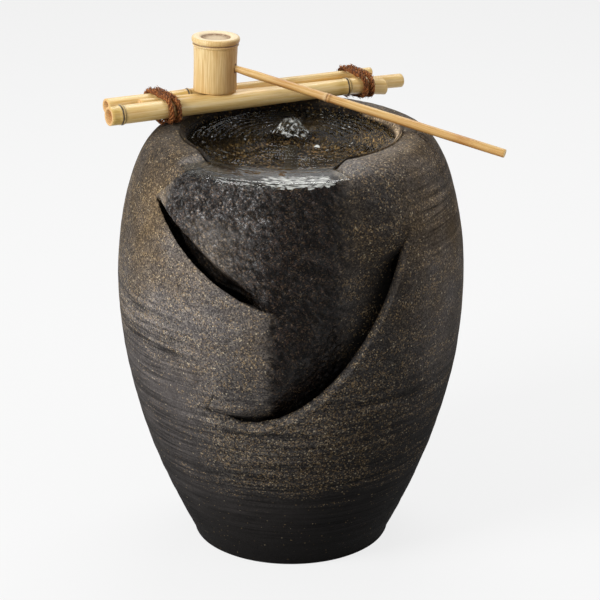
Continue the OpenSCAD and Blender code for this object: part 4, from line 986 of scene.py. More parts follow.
def waterMaterial(look):
    # Clear moving water: it bends what lies under it and catches the lamps on its ripples. On the
    # jet and where it slides over the edge, painted highlights and reflections streak it with
    # matte white
    material, add = newMaterial("clear_water")
    water = add("BsdfPrincipled", {"Base Color": srgb(look["clear"]), "Roughness": look["rough"],
                                   "IOR": look["ior"], "Transmission Weight": 1.0})
    clear = add("BsdfTransparent", {"Color": srgb(look["through"])})
    shadow = add("LightPath", output="Is Shadow Ray")
    gloss = add("Attribute", {"attribute_name": "sheen"}, "Fac")
    foam = add("Attribute", {"attribute_name": "foam"}, "Fac")
    lane = add("Attribute", {"attribute_name": "lane"}, "Vector")
    less = add("Math", {"operation": "SUBTRACT", 0: 1.0, 1: gloss})
    most = add("Math", {"operation": "MAXIMUM", 0: less, 1: shadow})
    both = add("MixShader", {0: most, 1: water, 2: clear})
    streaks = add("TexNoise", {"Scale": 1.0, "Detail": 2.0, "Roughness": 0.5, "Distortion": 0.5,
                               "Vector": lane})
    high = add("Math", {"operation": "ADD", 0: streaks, 1: foam})
    share = add("MapRange", {"From Min": look["glintFrom"], "From Max": look["glintTo"],
                             "To Max": look["glintMost"], "Value": high})
    paintedGlint = add("BsdfPrincipled", {"Base Color": srgb(look["paintedGlint"]),
                                   "Roughness": look["glintRough"]})
    whole = add("MixShader", {0: share, 1: both, 2: paintedGlint})
    add("OutputMaterial", {"Surface": whole})
    return material


def dressWater(piece):
    points = vertexPoints(piece)
    x, y, z = points.T
    r, a = reachOf(points), angleOf(points)
    sheen = 0.19 + 0.68 * rise(r, 96, 30) * rise(a, -44, 40) * (y < 0)
    sheen += 0.17 * smooth(y / 50) * (1 - 0.8 * smooth(x / 60))
    store(piece, "sheen", sheen * (1 - 0.45 * fall(r, 30, 8)))

    arcs = np.cos(fullTurn * (r + 3 * lumps(points + 31, 34)) / 9.5)
    arcs = rise(arcs, 0.45, 0.5) * rise(r, 30, 10) * fall(r, 112, 8)
    bubble = np.hypot(x - pool["bubble"][0], y - pool["bubble"][1])
    # painted highlights and reflections in white: on the crest, the jet, thin arcs on the ripples,
    # the spill and the bubble
    store(piece, "foam", np.max([
        0.58 * rise(r, 126, 12) * rise(a, -30, 26) * fall(a, 20, 5) * rise(z, 440, 4),  # the crest
        0.47 * fall(r, 27, 9),  # the jet
        arcs * (0.43 + 0.1 * lumps(points + 90, 38)),
        0.4 * rise(r, 96, 20) * rise(a, -45, 20) * fall(a, 20, 6),
        fall(bubble, 3.8, 1.6)], 0))

    over = rise(r, 112, 10)  # streaks lie round the pool, then run along the spill
    store(piece, "lane", np.stack([mix(x / 5, np.radians(a) * r / 7.5 + r * 0.05, over),
                                   mix(y / 4, (r - z) / 1.7, over), mix(z / 5, 0, over)], -1))


waterPiece = makePiece("water", *buildWater(), waterMaterial(waterLook), 60)
fixNormals(waterPiece)
dressWater(waterPiece)
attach(waterPiece, "vessel")
print("water:", len(waterPiece.data.polygons), "faces")


# The canes, in the rack's own frame: along the canes, across them to the back, and up

rack = {"origin": (-121.779, 25.885, 485.298), "tilt": 1.83125, "yaw": 30.0, "sides": 56,
        "step": 3.0, "tipAt": 297.0, "tipDrop": 8}
tipSlope = math.tan(math.radians(rack["tipDrop"]))
canes = {  # ends of its axis, diameters there, nodes with how far each stands out, open ends
    "front": {"from": (-80, 0, -10.3), "to": (217 + 44 * math.cos(math.radians(8)), 0, -9.3),
              "wide": (20.6, 17.9), "nodes": [(14.5, 1.0), (292, 0.95)], "open": (True, True),
              "seed": 1},
    "middle": {"from": (-36, 15.30, -4.75), "to": (295, 18.68, -15.8), "wide": (9.5, 15.6),
               "nodes": [], "open": (False, True), "seed": 2},
    "back": {"from": (-68, 30.95, -8.5), "to": (262, 30.95, -5.2), "wide": (17, 10.4),
             "nodes": [(98, 1.0)], "open": (True, False), "seed": 3},
}
caneLook = {
    "fibreWidth": 0.9, "patch": 16, "rough": 0.32, "cutRough": 0.75, "gloss": 0.4, "bump": 0.25,
    "poresPerMetre": 2600, "scarsPerMetre": 900, "tintAndShade": "#d6cf9b", "scar": "#2e1f12",
    "skin": [(0.25, "#d3ac66"), (0.45, "#ebcf90"), (0.6, "#f5e0ae"), (0.8, "#fbeecb")],
    "stain": [(0.2, "#e6cda4"), (0.5, "#fdf3df"), (0.8, "#ffffff")],
    "wood": [(0.3, "#b9824a"), (0.6, "#e3bd84")],
}


def rackPoint(p):
    return turned(p, rack["origin"], rack["tilt"], rack["yaw"])


def turnOf(sides):
    return np.linspace(0, fullTurn, sides + 1)[:-1]


def roundNoise(turn, radius, along, size, start=0):  # noise that goes round a cane without a seam
    ring = np.stack([np.cos(turn) * radius, np.sin(turn) * radius, 0 * turn + along], -1)
    return lumps(ring + start, size)


def lathe(profile, start, end, sides, shape):
    # profile is a closed section of (radius, length along the axis) from one pole to the other
    start, end = np.asarray(start, float), np.asarray(end, float)
    axis = (end - start) / np.linalg.norm(end - start)
    side = np.cross(axis, [0, 0, 1.0])
    side /= np.linalg.norm(side)
    up = np.cross(side, axis)
    turn = turnOf(sides)
    points, fibre = [], []
    for r, t in profile:
        ring = shape(r, t, turn)
        x, y = ring * np.cos(turn), ring * np.sin(turn)
        points.append(start + axis * t + np.outer(x, side) + np.outer(y, up))
        fibre.append(np.stack([x, y, np.full(sides, t)], -1))
    grid = numbered(len(profile), sides)
    faces = quads(grid, closed=True) + [grid[0, ::-1].tolist(), grid[-1].tolist()]
    return np.concatenate(points), faces, np.concatenate(fibre)


def bambooMaterial(name, look):
    # Dried bamboo with its waxy skin: fine fibres along the cane, a satin gloss, darker sheath
    # scars at its nodes and paler, open wood where it is cut, and a tint, greener near the canes'
    # nodes, which on the cup's right side and the handle's underside is painted shade
    material, add = newMaterial(name)
    fibre = add("Attribute", {"attribute_name": "fibre"}, "Vector")
    tone = add("Attribute", {"attribute_name": "tone"}, "Color")
    scar, cut, tintAndShade = add("SeparateColor", {"Color": tone}).node.outputs
    long = add("Mapping", {"Scale": (1, 1, 0.02), "Vector": fibre})
    streak = add("TexNoise", {"Scale": 1000 / look["fibreWidth"], "Detail": 4.0,
                              "Roughness": 0.65, "Vector": long})
    wide = add("Mapping", {"Scale": (1, 1, 0.22), "Vector": fibre})
    patch = add("TexNoise", {"Scale": 1000 / look["patch"], "Detail": 3.0, "Roughness": 0.55,
                             "Vector": wide})
    skin = add("ValToRGB", {"stops": look["skin"], "Fac": streak})
    stain = add("ValToRGB", {"stops": look["stain"], "Fac": patch})
    mixed = add("Mix", {"data_type": "RGBA", "blend_type": "MULTIPLY", 0: 1.0, 6: skin, 7: stain})
    tintedAndShaded = add("Mix", {"data_type": "RGBA", "blend_type": "MULTIPLY", 7: srgb(look["tintAndShade"]),
                          0: tintAndShade, 6: mixed})
    pores = add("TexNoise", {"Scale": look["poresPerMetre"], "Detail": 2.0, "Vector": fibre})
    wood = add("ValToRGB", {"stops": look["wood"], "Fac": pores})
    sawn = add("Mix", {"data_type": "RGBA", 0: cut, 6: tintedAndShaded, 7: wood})
    scarNoise = add("TexNoise", {"Scale": look["scarsPerMetre"], "Detail": 3.0, "Vector": fibre})
    scarDeep = add("MapRange", {"From Min": 0.25, "From Max": 0.6, "To Min": 0.8, "To Max": 1.8,
                                "Value": scarNoise})
    scarShare = add("Math", {"operation": "MULTIPLY", "use_clamp": True, 0: scar, 1: scarDeep})
    scarred = add("Mix", {"data_type": "RGBA", 7: srgb(look["scar"]), 0: scarShare, 6: sawn})
    rough = add("MapRange", {"To Min": look["rough"], "To Max": look["cutRough"], "Value": cut})
    bump = add("Bump", {"Strength": look["bump"], "Distance": 0.25 * mm, "Height": streak})
    shader = add("BsdfPrincipled", {"Specular IOR Level": look["gloss"], "Base Color": scarred,
                                    "Roughness": rough, "Normal": bump})
    add("OutputMaterial", {"Surface": shader})
    return material


def outside(length, wide, ridges):
    # the cane's skin from its near end to its far end, with a ridge and a scar line at each node
    close = np.array([-6, -4.6, -3.4, -2.6, -2.1, -1.7, -1.3, -0.9, -0.5, 0, 0.4, 0.8, 1.2, 1.7,
                      2.4, 3.4, 4.6, 6])
    t = np.concatenate([np.arange(0.6, length - 0.6, rack["step"]), [length - 0.6]]
                       + [at + close for at, swell in ridges])
    t = np.unique(np.round(t[(t >= 0.6) & (t <= length - 0.6)], 2))
    r = mix(*wide, t / length) / 2
    for at, swell in ridges:
        q = t - at
        r = r + swell * peak(q, 0.1, 1.7) + 0.35 * swell * peak(q, -3.2, 1.5)
        r = r - 0.42 * peak(q, -1.55, 0.38)
    return list(zip(r, t))


def caneEnd(diameter, at, inward, hollow, wall=2.8, deep=12.6):
    r = diameter / 2
    line = [(r - 0.6, 0), (r * 0.6, 0.15), (0.4, 0.3)]
    if hollow:
        line = [(r - 0.6, 0), (r - wall + 0.5, 0), (r - wall, 0.5), (r - wall - 0.15, deep * 0.5),
                (r - wall - 0.3, deep), (2.0, deep + 0.4), (0.4, deep + 0.2)]
    return [(radius, at + along * inward) for radius, along in line]


def makeCane(name, cane):
    start, end = np.asarray(cane["from"], float), np.asarray(cane["to"], float)
    length = float(np.linalg.norm(end - start))
    (d0, d1), sides = cane["wide"], rack["sides"]
    profile = (caneEnd(d0, 0, 1, cane["open"][0])[::-1] + outside(length, (d0, d1), cane["nodes"])
               + caneEnd(d1, length, -1, cane["open"][1]))

    def shape(r, t, turn):
        along = t * 0.3 + cane["seed"] * 50
        grow = 0.16 * roundNoise(turn, 9, along, 9) * rise(r, 4, 3)
        grow += 0.05 * roundNoise(turn, 9, along, 3, start=5)
        return np.maximum(r + grow - 0.12, 0.3)

    points, faces, fibre = lathe(profile, start, end, sides, shape)
    radius, along = np.transpose(profile)
    inside = asRows(radius < mix(d0, d1, ramp(along / length)) / 2 - 0.5, sides)
    tone = np.zeros((len(profile), sides, 4))
    tone[:, :, 1] = inside
    for at, _ in cane["nodes"]:
        q = along[:, None] - at + 0.5 * roundNoise(turnOf(sides), 9, at, 7)
        dark = peak(q, -1.5, 0.75) + 0.35 * peak(q, 1.2, 1.4)
        tone[:, :, 0] = np.maximum(tone[:, :, 0], dark * (1 - inside))
        tone[:, :, 2] = np.maximum(tone[:, :, 2], 0.7 * peak(q, -9, 8))
    if name == "front":  # its tip drops past its last node
        far = np.maximum(np.repeat(along, sides) - rack["tipAt"], 0)
        points[:, 2] -= far * tipSlope - 0.5 * (1 - np.exp(-far / 4))
    material = bambooMaterial("dried_bamboo_" + name + "_cane", caneLook)
    piece = makePiece(name + "_cane", rackPoint(points), faces, material, 50)
    fixNormals(piece)
    store(piece, "fibre", fibre * mm)
    store(piece, "tone", tone.reshape(-1, 4))
    return piece


for name, cane in canes.items():
    canePiece = makeCane(name, cane)
    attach(canePiece, "rack")
    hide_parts("cane_" + name)
print("canes:", len(canes))


# The ladle: its cup is a bamboo joint stood on its open mouth, and its handle a thin cane

ladle = {
    "centre": (-81.257, 68.581, 513.859), "pitch": 11.98, "yaw": -19.853, "tenonTip": -19.455,
    "length": 331, "nodeAt": 0.4, "grip": 10, "tenon": 7.4, "bore": 7.7, "handleSides": 40,
    "cupBase": (-82.10, 68.10, 483.52), "cupTop": (-80.45, 69.05, 542.99), "cupHeight": 59.5,
    "cupRadius": 23.6, "ringRadius": 26.2, "wall": 3.4, "cupSides": 96,
}
cupLook = dict(caneLook, fibreWidth=1.1, patch=26, rough=0.42, tintAndShade="#cf9d60", scar="#6b4524",
               skin=[(0.28, "#c59c5f"), (0.45, "#e0c48c"), (0.58, "#efdbab"), (0.75, "#faedc9")],
               stain=[(0.2, "#dcc3a0"), (0.5, "#f7ead6"), (0.8, "#ffffff")],
               wood=[(0.3, "#ecc58d"), (0.6, "#fff0d2")])
handleLook = dict(caneLook, fibreWidth=0.8, patch=12, rough=0.4, tintAndShade="#c48a58", scar="#7b4a26",
                  skin=[(0.25, "#bd9050"), (0.45, "#dab776"), (0.6, "#e7ca8e"), (0.8, "#f0dcae")],
                  stain=[(0.2, "#d9b48f"), (0.5, "#f8ead8"), (0.8, "#ffffff")],
                  wood=[(0.3, "#c79d63"), (0.6, "#ecd3a2")])


def handlePoint(p):
    return turned(p, ladle["centre"], ladle["pitch"], ladle["yaw"])


def makeCup():
    r, h, ring = ladle["cupRadius"], ladle["cupHeight"], ladle["ringRadius"]
    inR = r - ladle["wall"]
    profile = [(0.4, h - 9.4), (8, h - 9.3), (inR - 5, h - 9.5), (inR - 1, h - 11), (inR, h - 14)]
    profile += [(inR, t) for t in np.linspace(h - 20, 1, 10)]
    profile += [(inR + 0.5, 0.1), (r - 1, 0.0), (r - 0.3, 0.25), (r, 0.9)]
    profile += [(r - 0.2 * smooth(t / 20) + 0.45 * rise(t, 30, 20), t)
                for t in np.linspace(4, h - 13, 16)]
    # the ring that is left of the joint, out from the wall and down below the top
    profile += [(r + out, h - down) for out, down in (
        (0.3, 11.6), (0.45, 10.6), (0.9, 9.8), (1.5, 9.2), (1.55, 8.5), (1.15, 7.9), (0.75, 7.4),
        (0.7, 7.0), (1.2, 6.5), (2.1, 5.7))]
    profile += [(ring - back, h - down) for back, down in (
        (0.1, 4.6), (0, 3.4), (0.05, 2.3), (0.5, 1.2), (1.4, 0.4), (2.8, 0.05), (5, 0), (7, 0.1),
        (8.4, 0.5), (9.4, 1.2), (10.6, 2.0), (12.4, 2.5))]
    profile += [(9, h - 2.9), (4, h - 3.0), (0.4, h - 3.0)]

    def shape(radius, t, turn):
        grow = 0.18 * roundNoise(turn, 16, t * 0.25, 11) * rise(radius, 12, 6)
        return np.maximum(radius - 0.1 + grow, 0.3)

    sides = ladle["cupSides"]
    points, faces, fibre = lathe(profile, ladle["cupBase"], ladle["cupTop"], sides, shape)
    radius, along = np.repeat(profile, sides, 0).T
    crease = peak(along, h - 7.3, 0.6) * (radius > r)
    mouth = 0.6 * peak(along, h - 2.2, 0.8) * (radius < r - 5) * (along > h - 4)
    cut = ((along > h - 1.4) & (radius < ring - 2.2)) | (radius < r - 0.8)
    turn = angleOf(points - (-81.4, 68.5, 0))
    # the third channel is painted shade, browner on the cup's right side
    tone = np.stack([np.maximum(0.75 * crease, mouth), cut,
                     0.55 * rise(turn, -5, 60) * (along < h - 2), 0 * along], -1)
    material = bambooMaterial("cup_bamboo", cupLook)
    piece = makePiece("ladle_cup_bamboo", points, faces, material, 50)
    fixNormals(piece)
    store(piece, "fibre", fibre * mm)
    store(piece, "tone", tone)
    return piece


def makeHandle():
    tip, grip, tenon, length = (ladle[key] for key in ("tenonTip", "grip", "tenon", "length"))
    node, sides = length * ladle["nodeAt"], ladle["handleSides"]
    profile = [(0.4, tip), (tenon / 2 - 0.6, tip), (tenon / 2, tip + 0.8)]
    profile += [(tenon / 2, t) for t in np.linspace(-10, 27.6, 8)]
    close = [-5, -4, -3.2, -2.4, -1.7, -1.1, -0.5, 0.1, 0.7, 1.3, 2, 3, 4.5]
    t = np.concatenate([np.linspace(31, node - 7, 12), node + np.array(close),
                        np.linspace(node + 8, length - 3, 46)])
    r = np.interp(t, [27.6, 45.6, node - 6, length * 0.7, length], [3.7, 4.6, 4.7, 4.9, 4.95])
    r = r + 0.62 * peak(t, node, 1.8) + 0.4 * peak(t, node - 3.6, 1.5)
    r = r - 0.4 * peak(t, node - 1.7, 0.5)
    profile += [*zip(r, t), (grip / 2 - 0.1, length - 0.8), (grip / 2 - 0.5, length - 0.1),
                (grip / 2 - 1.2, length), (1.6, length), (1.4, length - 0.6), (0.4, length - 2.0)]

    def shape(radius, t, turn):
        flat = 1 - 0.05 * np.sin(turn) ** 2 * rise(t, 35, 20)
        grow = 0.12 * roundNoise(turn, 5, t * 0.3, 6) * rise(t, 30, 10)
        return np.maximum(radius * flat + grow - 0.06, 0.3)

    points, faces, fibre = lathe(profile, (0, 0, 0), (1, 0, 0), sides, shape)
    radius, along = np.repeat(profile, sides, 0).T
    q = along - node
    scar = 0.7 * peak(q, -1.6, 0.8) + 0.45 * peak(q, 1.6, 1.2)
    cut = (along > length - 0.6) | (radius < 2.5)
    # painted shade on the handle's underside, with random patches of tint
    tintAndShade = 0.5 * fall(points[:, 2], 1, 4) + 0.4 * lumps(fibre, 30)
    tone = np.stack([ramp(scar * (0.6 + 0.8 * lumps(fibre + 400, 5))),
                     np.maximum(0.7 * peak(q, -4, 2.4), cut), ramp(tintAndShade), 0 * q], -1)
    material = bambooMaterial("handle_bamboo", handleLook)
    piece = makePiece("ladle_handle_bamboo", handlePoint(points), faces, material, 50)
    fixNormals(piece)
    store(piece, "fibre", fibre * mm)
    store(piece, "tone", tone)
    return piece


def boreCup(cup):  # the hole that the handle's tenon goes through
    r = ladle["bore"] / 2
    points, faces, _ = lathe([(r, 10), (r, 34)], (0, 0, 0), (1, 0, 0), 32,
                             lambda r, t, turn: np.full(len(turn), r))
    drill = makePiece("drill", handlePoint(points), faces, cup.data.materials[0])
    fixNormals(drill)
    cutAway(cup, drill)


cupPiece = makeCup()
boreCup(cupPiece)
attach(cupPiece, "ladle")
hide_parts("ladle_cup")
handlePiece = makeHandle()
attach(handlePiece, "ladle")
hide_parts("ladle_handle")
print("ladle: cup and handle")


# The lashings: palm rope, two turns of three twisted strands with loose fibres, wound by Geometry
# Nodes. Each cane under it is its start and run along the rack, its diameters, and the place of
# its axis across and up, which follows from its radius where none is given.

rope = {
    "turns": 2, "pitch": 8.6, "above": 3.0, "strand": 1.2, "twist": 1.75, "twistsPerMetre": 64,
    "strands": 3, "fibres": 340, "fibreLength": 11, "fibreRadius": 0.2, "fibreLift": (2.4, 3.3),
    "fibreBend": 0.6, "fibreTilt": (0.3, 0.3, 3.1), "step": 1.1, "pointsPerTurn": 60,
    "left": {"at": -9.5, "seed": 3}, "right": {"at": 232, "seed": 8},
    "over": [(-80, 297, (20.6, 18.6), (0, 0), None),
             (-36, 331, (9.5, 15.6), (15.30, 18.68), (-4.75, -15.8)),
             (-68, 330, (17, 10.4), (30.95, 30.95), None)],
}


def ropePath(middle):
    points = []
    for i in range(rope["turns"] * rope["pointsPerTurn"] + 1):
        a = math.radians(270 + 360 * i / rope["pointsPerTurn"])
        s = middle + rope["pitch"] * (i / rope["pointsPerTurn"] - rope["turns"] / 2)
        x, z = math.cos(a), math.sin(a)
        reach = []
        for start, run, wide, across, up in rope["over"]:
            share = (s - start) / run
            r = mix(*wide, share) / 2
            n, w = mix(*across, share), mix(*up, share) if up else -r
            reach.append((n * x + w * z + r, n, w, r))
        _, n, w, r = max(reach, key=lambda c: c[0])
        out = r + rope["above"]
        wander = 0.45 * math.sin(a * 2.3 + middle) + 0.3 * math.sin(a * 5.1)
        points.append((s + wander * 0.6, n + out * x, w + out * z))
    first, last = np.array(points[0]), np.array(points[-1])
    tail = np.array([0, 4, 0])  # both ends are tucked under, beside the canes
    return rackPoint(np.array([first - tail, *points, last + tail])) * mm


def ropeTree():
    tree = bpy.data.node_groups.new("twisted_rope", "GeometryNodeTree")
    add = partial(addNode, tree)
    tree.interface.new_socket("Path", in_out="INPUT", socket_type="NodeSocketGeometry")
    sockets = {name: tree.interface.new_socket(
        name, in_out="INPUT", socket_type="NodeSocket" + kind).identifier
        for name, kind in (("Strand Radius", "Float"), ("Twist Radius", "Float"),
                           ("Twists Per Metre", "Float"), ("Fibre Count", "Int"),
                           ("Fibre Length", "Float"), ("Fibre Radius", "Float"),
                           ("Seed", "Int"), ("Material", "Material"))}
    tree.interface.new_socket("Rope", in_out="OUTPUT", socket_type="NodeSocketGeometry")
    given = add("NodeGroupInput").node.outputs

    def turnAway(normal, across, angle, radius):  # the step from the path at that angle round it
        steps = []
        for way, axis in (("COSINE", normal), ("SINE", across)):
            share = add("Math", {"operation": way, 0: angle})
            size = add("Math", {"operation": "MULTIPLY", 0: share, 1: radius})
            steps.append(add("VectorMath", {"operation": "SCALE", 0: axis, "Scale": size}))
        return add("VectorMath", {"operation": "ADD", 0: steps[0], 1: steps[1]})

    fine = add("GeometryNodeResampleCurve", {"mode": "LENGTH", "Length": rope["step"] * mm,
                                             "Curve": given["Path"]})
    tangent, normal = add("GeometryNodeInputTangent"), add("GeometryNodeInputNormal")
    across = add("VectorMath", {"operation": "CROSS_PRODUCT", 0: tangent, 1: normal})
    along = add("GeometryNodeSplineParameter", output="Length")
    rate = add("Math", {"operation": "MULTIPLY", 1: fullTurn, 0: given["Twists Per Metre"]})
    spin = add("Math", {"operation": "MULTIPLY", 0: along, 1: rate})
    rough = add("TexNoise", {"Scale": 900.0, "Detail": 2.0})
    thick = add("MapRange", {"From Min": 0.3, "From Max": 0.7, "To Min": 0.72, "To Max": 1.2,
                             "Value": rough})
    section = add("GeometryNodeCurvePrimitiveCircle", {"Resolution": 8,
                                                       "Radius": given["Strand Radius"]})
    parts = []
    for k in range(rope["strands"]):
        angle = add("Math", {"operation": "ADD", 1: fullTurn * k / rope["strands"], 0: spin})
        offset = turnAway(normal, across, angle, given["Twist Radius"])
        moved = add("GeometryNodeSetPosition", {"Geometry": fine, "Offset": offset})
        sized = add("GeometryNodeSetCurveRadius", {"Curve": moved, "Radius": thick})
        parts.append(add("GeometryNodeCurveToMesh", {
            "Fill Caps": True, "Curve": sized, "Profile Curve": section, "Scale": thick}))

    # loose fibres that lie on the strands, each turned a little off the rope's own line
    spots = add("GeometryNodeCurveToPoints", {"mode": "COUNT", "Curve": given["Path"],
                                              "Count": given["Fibre Count"]}).node.outputs
    angle = add("FunctionNodeRandomValue", {"data_type": "FLOAT", 2: 0.0, 3: fullTurn,
                                            "Seed": given["Seed"]})
    least, most = rope["fibreLift"]
    lift = add("FunctionNodeRandomValue", {"data_type": "FLOAT", 2: least * mm, 3: most * mm,
                                           "Seed": given["Seed"]})
    sideways = add("VectorMath", {"operation": "CROSS_PRODUCT", 0: spots["Tangent"],
                                  1: spots["Normal"]})
    shift = turnAway(spots["Normal"], sideways, angle, lift)
    placed = add("GeometryNodeSetPosition", {"Geometry": spots["Points"], "Offset": shift})
    ends = {}
    for end, share in (("Start", -0.5), ("End", 0.5)):
        half = add("Math", {"operation": "MULTIPLY", 1: share, 0: given["Fibre Length"]})
        ends[end] = add("CombineXYZ", {"Z": half})
    bend = (rope["fibreBend"] * mm, 0, 0)
    line = add("GeometryNodeCurveQuadraticBezier", {"Resolution": 5, "Middle": bend, **ends})
    tilt = add("FunctionNodeRandomValue", {
        "data_type": "FLOAT_VECTOR", 0: [-angle for angle in rope["fibreTilt"]],
        1: rope["fibreTilt"], "Seed": given["Seed"]})
    way = add("FunctionNodeRotateRotation", {"rotation_space": "LOCAL", 0: spots["Rotation"],
                                             1: tilt})
    many = add("GeometryNodeInstanceOnPoints", {"Points": placed, "Instance": line,
                                                "Rotation": way})
    real = add("GeometryNodeRealizeInstances", {"Geometry": many})
    thin = add("GeometryNodeCurvePrimitiveCircle", {"Resolution": 3,
                                                    "Radius": given["Fibre Radius"]})
    parts.append(add("GeometryNodeCurveToMesh", {"Fill Caps": True, "Curve": real,
                                                 "Profile Curve": thin}))
    joined = add("GeometryNodeJoinGeometry")
    for made in parts:
        tree.links.new(made, joined.node.inputs[0])
    whole = add("GeometryNodeRealizeInstances", {"Geometry": joined})
    done = add("GeometryNodeSetMaterial", {"Geometry": whole, "Material": given["Material"]})
    add("NodeGroupOutput", {0: done})
    return tree, sockets


palmLook = {
    "hairsPerMetre": 850, "tuftsPerMetre": 220, "rough": 0.72, "gloss": 0.3, "bumpDepth": 0.4,
    "hair": [(0.32, "#1f0d05"), (0.45, "#7c411b"), (0.58, "#bb763c"), (0.75, "#e2a669")],
    "tuft": [(0.35, "#5d4a3d"), (0.6, "#ffffff")],
}


def palmMaterial(look):
    # Palm bark fibre, twisted by hand: coarse rust-brown hairs, dull, darker deep between strands
    material, add = newMaterial("palm_fibre")
    place = add("TexCoord", output="Object")
    hair = add("TexNoise", {"Scale": look["hairsPerMetre"], "Detail": 3.0, "Roughness": 0.65,
                            "Vector": place})
    tuft = add("TexNoise", {"Scale": look["tuftsPerMetre"], "Detail": 2.0, "Vector": place})
    colour = add("ValToRGB", {"stops": look["hair"], "Fac": hair})
    shade = add("ValToRGB", {"stops": look["tuft"], "Fac": tuft})
    both = add("Mix", {"data_type": "RGBA", "blend_type": "MULTIPLY", 0: 0.8, 6: colour, 7: shade})
    bump = add("Bump", {"Strength": 0.6, "Distance": look["bumpDepth"] * mm, "Height": hair})
    shader = add("BsdfPrincipled", {"Base Color": both, "Roughness": look["rough"],
                                    "Specular IOR Level": look["gloss"], "Normal": bump})
    add("OutputMaterial", {"Surface": shader})
    return material


def makeLashing(name, middle, seed):
    path = ropePath(middle)
    curve = bpy.data.curves.new(name + "_path", "CURVE")
    curve.dimensions, curve.twist_mode = "3D", "MINIMUM"
    spline = curve.splines.new("POLY")
    spline.points.add(len(path) - 1)
    for point, co in zip(spline.points, path):
        point.co = (*co, 1)
    guide = addObject(name + "_path", curve)
    wound = guide.modifiers.new("rope", "NODES")
    wound.node_group = ropeNodes
    for socket, value in (
            ("Strand Radius", rope["strand"] * mm), ("Twist Radius", rope["twist"] * mm),
            ("Twists Per Metre", float(rope["twistsPerMetre"])), ("Fibre Count", rope["fibres"]),
            ("Fibre Length", rope["fibreLength"] * mm), ("Fibre Radius", rope["fibreRadius"] * mm),
            ("Seed", seed), ("Material", palm)):
        wound[ropeSockets[socket]] = value
    bpy.context.view_layer.update()
    mesh = bakeModifiers(guide)
    bpy.data.objects.remove(guide)
    mesh.shade_smooth()
    mesh.name = name
    return addObject(name, mesh)


ropeNodes, ropeSockets = ropeTree()
palm = palmMaterial(palmLook)
for side in ("left", "right"):
    binding = makeLashing(side + "_binding", rope[side]["at"], rope[side]["seed"])
    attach(binding, "rack")
    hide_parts("lashing_" + side)
    print(side, "binding:", len(binding.data.polygons), "faces")


# The fittings inside the jar keep their own meshes and get their finishes here: which parts, dark
# and light colour, grain in mm, roughness, depth of the grain in mm, and what else a finish has.
# Bands are in mm too, and those of the steel and copper are drawn twice as coarse as real ones.

fittings = {
    "grommet_rubber": (["basin_grommet"], "#111111", "#1c1c1c", 0.7, 0.6, 0.03, {}),
    "gland_rubber": (["cord_gland"], "#0f0f10", "#1a1a1b", 0.6, 0.7, 0.03, {}),
    "seal_rubber": (["cover_seal"], "#0d0d0d", "#171717", 0.5, 0.55, 0.02, {}),
    "foot_rubber": (["suction_feet"], "#333533", "#414341", 0.8, 0.55, 0.03, {}),
    "moulded_abs": (["pump_housing", "pump_rear_cap", "pump_cover", "inlet_strainer"],
                    "#1d1f23", "#2a2d31", 0.5, 0.45, 0.04, {}),
    "moulded_nylon": (["jet_nozzle"], "#33291b", "#43371f", 0.6, 0.4, 0.02, {"gloss": 0.1}),
    "soft_clear_vinyl": (["riser_hose"], "#8f9c94", "#a9b5ae", 6, 0.25, 0.02, {}),
    "turned_acetal": (["shaft_bush_rear", "shaft_bush_front"],
                      "#2d3033", "#373a3d", 0.5, 0.35, 0.02, {}),
    "moulded_acetal": (["impeller"], "#d2d6d0", "#dee1dc", 1.5, 0.35, 0.02, {}),
    "gloss_polypropylene": (["flow_dial"], "#c0c3c7", "#cdd0d3", 2, 0.18, 0.01, {}),
    "lacquered_steel_sheets": (["stator_core"], "#6e7073", "#a0a2a4", 2, 0.38, 0.08,
                               {"bands": 1.0, "across": "Y", "metal": 1}),
    "enamelled_copper_wire": (["stator_coil"], "#8d4a26", "#cf7c4c", 3, 0.3, 0.2,
                              {"bands": 1.4, "across": "Z", "metal": 1}),
    "ground_alumina": (["rotor_shaft"], "#dcdad3", "#ebe9e3", 1, 0.22, 0.005, {}),
    "sintered_ferrite": (["rotor_magnet"], "#303337", "#44474b", 0.4, 0.6, 0.04, {}),
    "split_bamboo": (["ladle_peg"], "#8e6a3a", "#c79f66", 1, 0.6, 0.05,
                     {"bands": 0.8, "across": "X"}),
}


def fittingMaterial(name, low, high, grain, roughness, depth, more):
    # Small technical parts: a faint mottle in the mass, a fine skin that breaks the highlights,
    # and edges of sheets, turns of wire or fibres where the part has them
    material, add = newMaterial(name)
    place = add("TexCoord", output="Object")
    mottle = add("TexNoise", {"Scale": 1000 / (6 * grain), "Detail": 5.0, "Vector": place})
    skin = add("TexNoise", {"Scale": 1000 / grain, "Detail": 2.0, "Vector": place})
    height, tone = skin, mottle
    if "bands" in more:  # a wave repeats every 1 / 3.1416 of its scale
        bands = add("TexWave", {"bands_direction": more["across"], "Scale": 314.16 / more["bands"],
                                "Distortion": 0.6, "Detail": 1.0, "Detail Scale": 2.0,
                                "Vector": place}, "Fac")
        height = add("Math", {"operation": "MULTIPLY_ADD", 1: 0.25, 0: height, 2: bands})
        tone = add("Math", {"operation": "MULTIPLY_ADD", 1: 0.5, 0: bands, 2: tone})
    base = add("ValToRGB", {"stops": [(0.3, low), (0.75, high)], "Fac": tone})
    rough = add("MapRange", {"To Min": roughness - 0.06, "To Max": roughness + 0.12,
                             "Value": mottle})
    bump = add("Bump", {"Strength": 0.6, "Distance": depth * mm, "Height": height})
    shader = add("BsdfPrincipled", {
        "Metallic": more.get("metal", 0), "Specular IOR Level": more.get("gloss", 0.5),
        "Base Color": base, "Roughness": rough, "Normal": bump})
    add("OutputMaterial", {"Surface": shader})
    return material


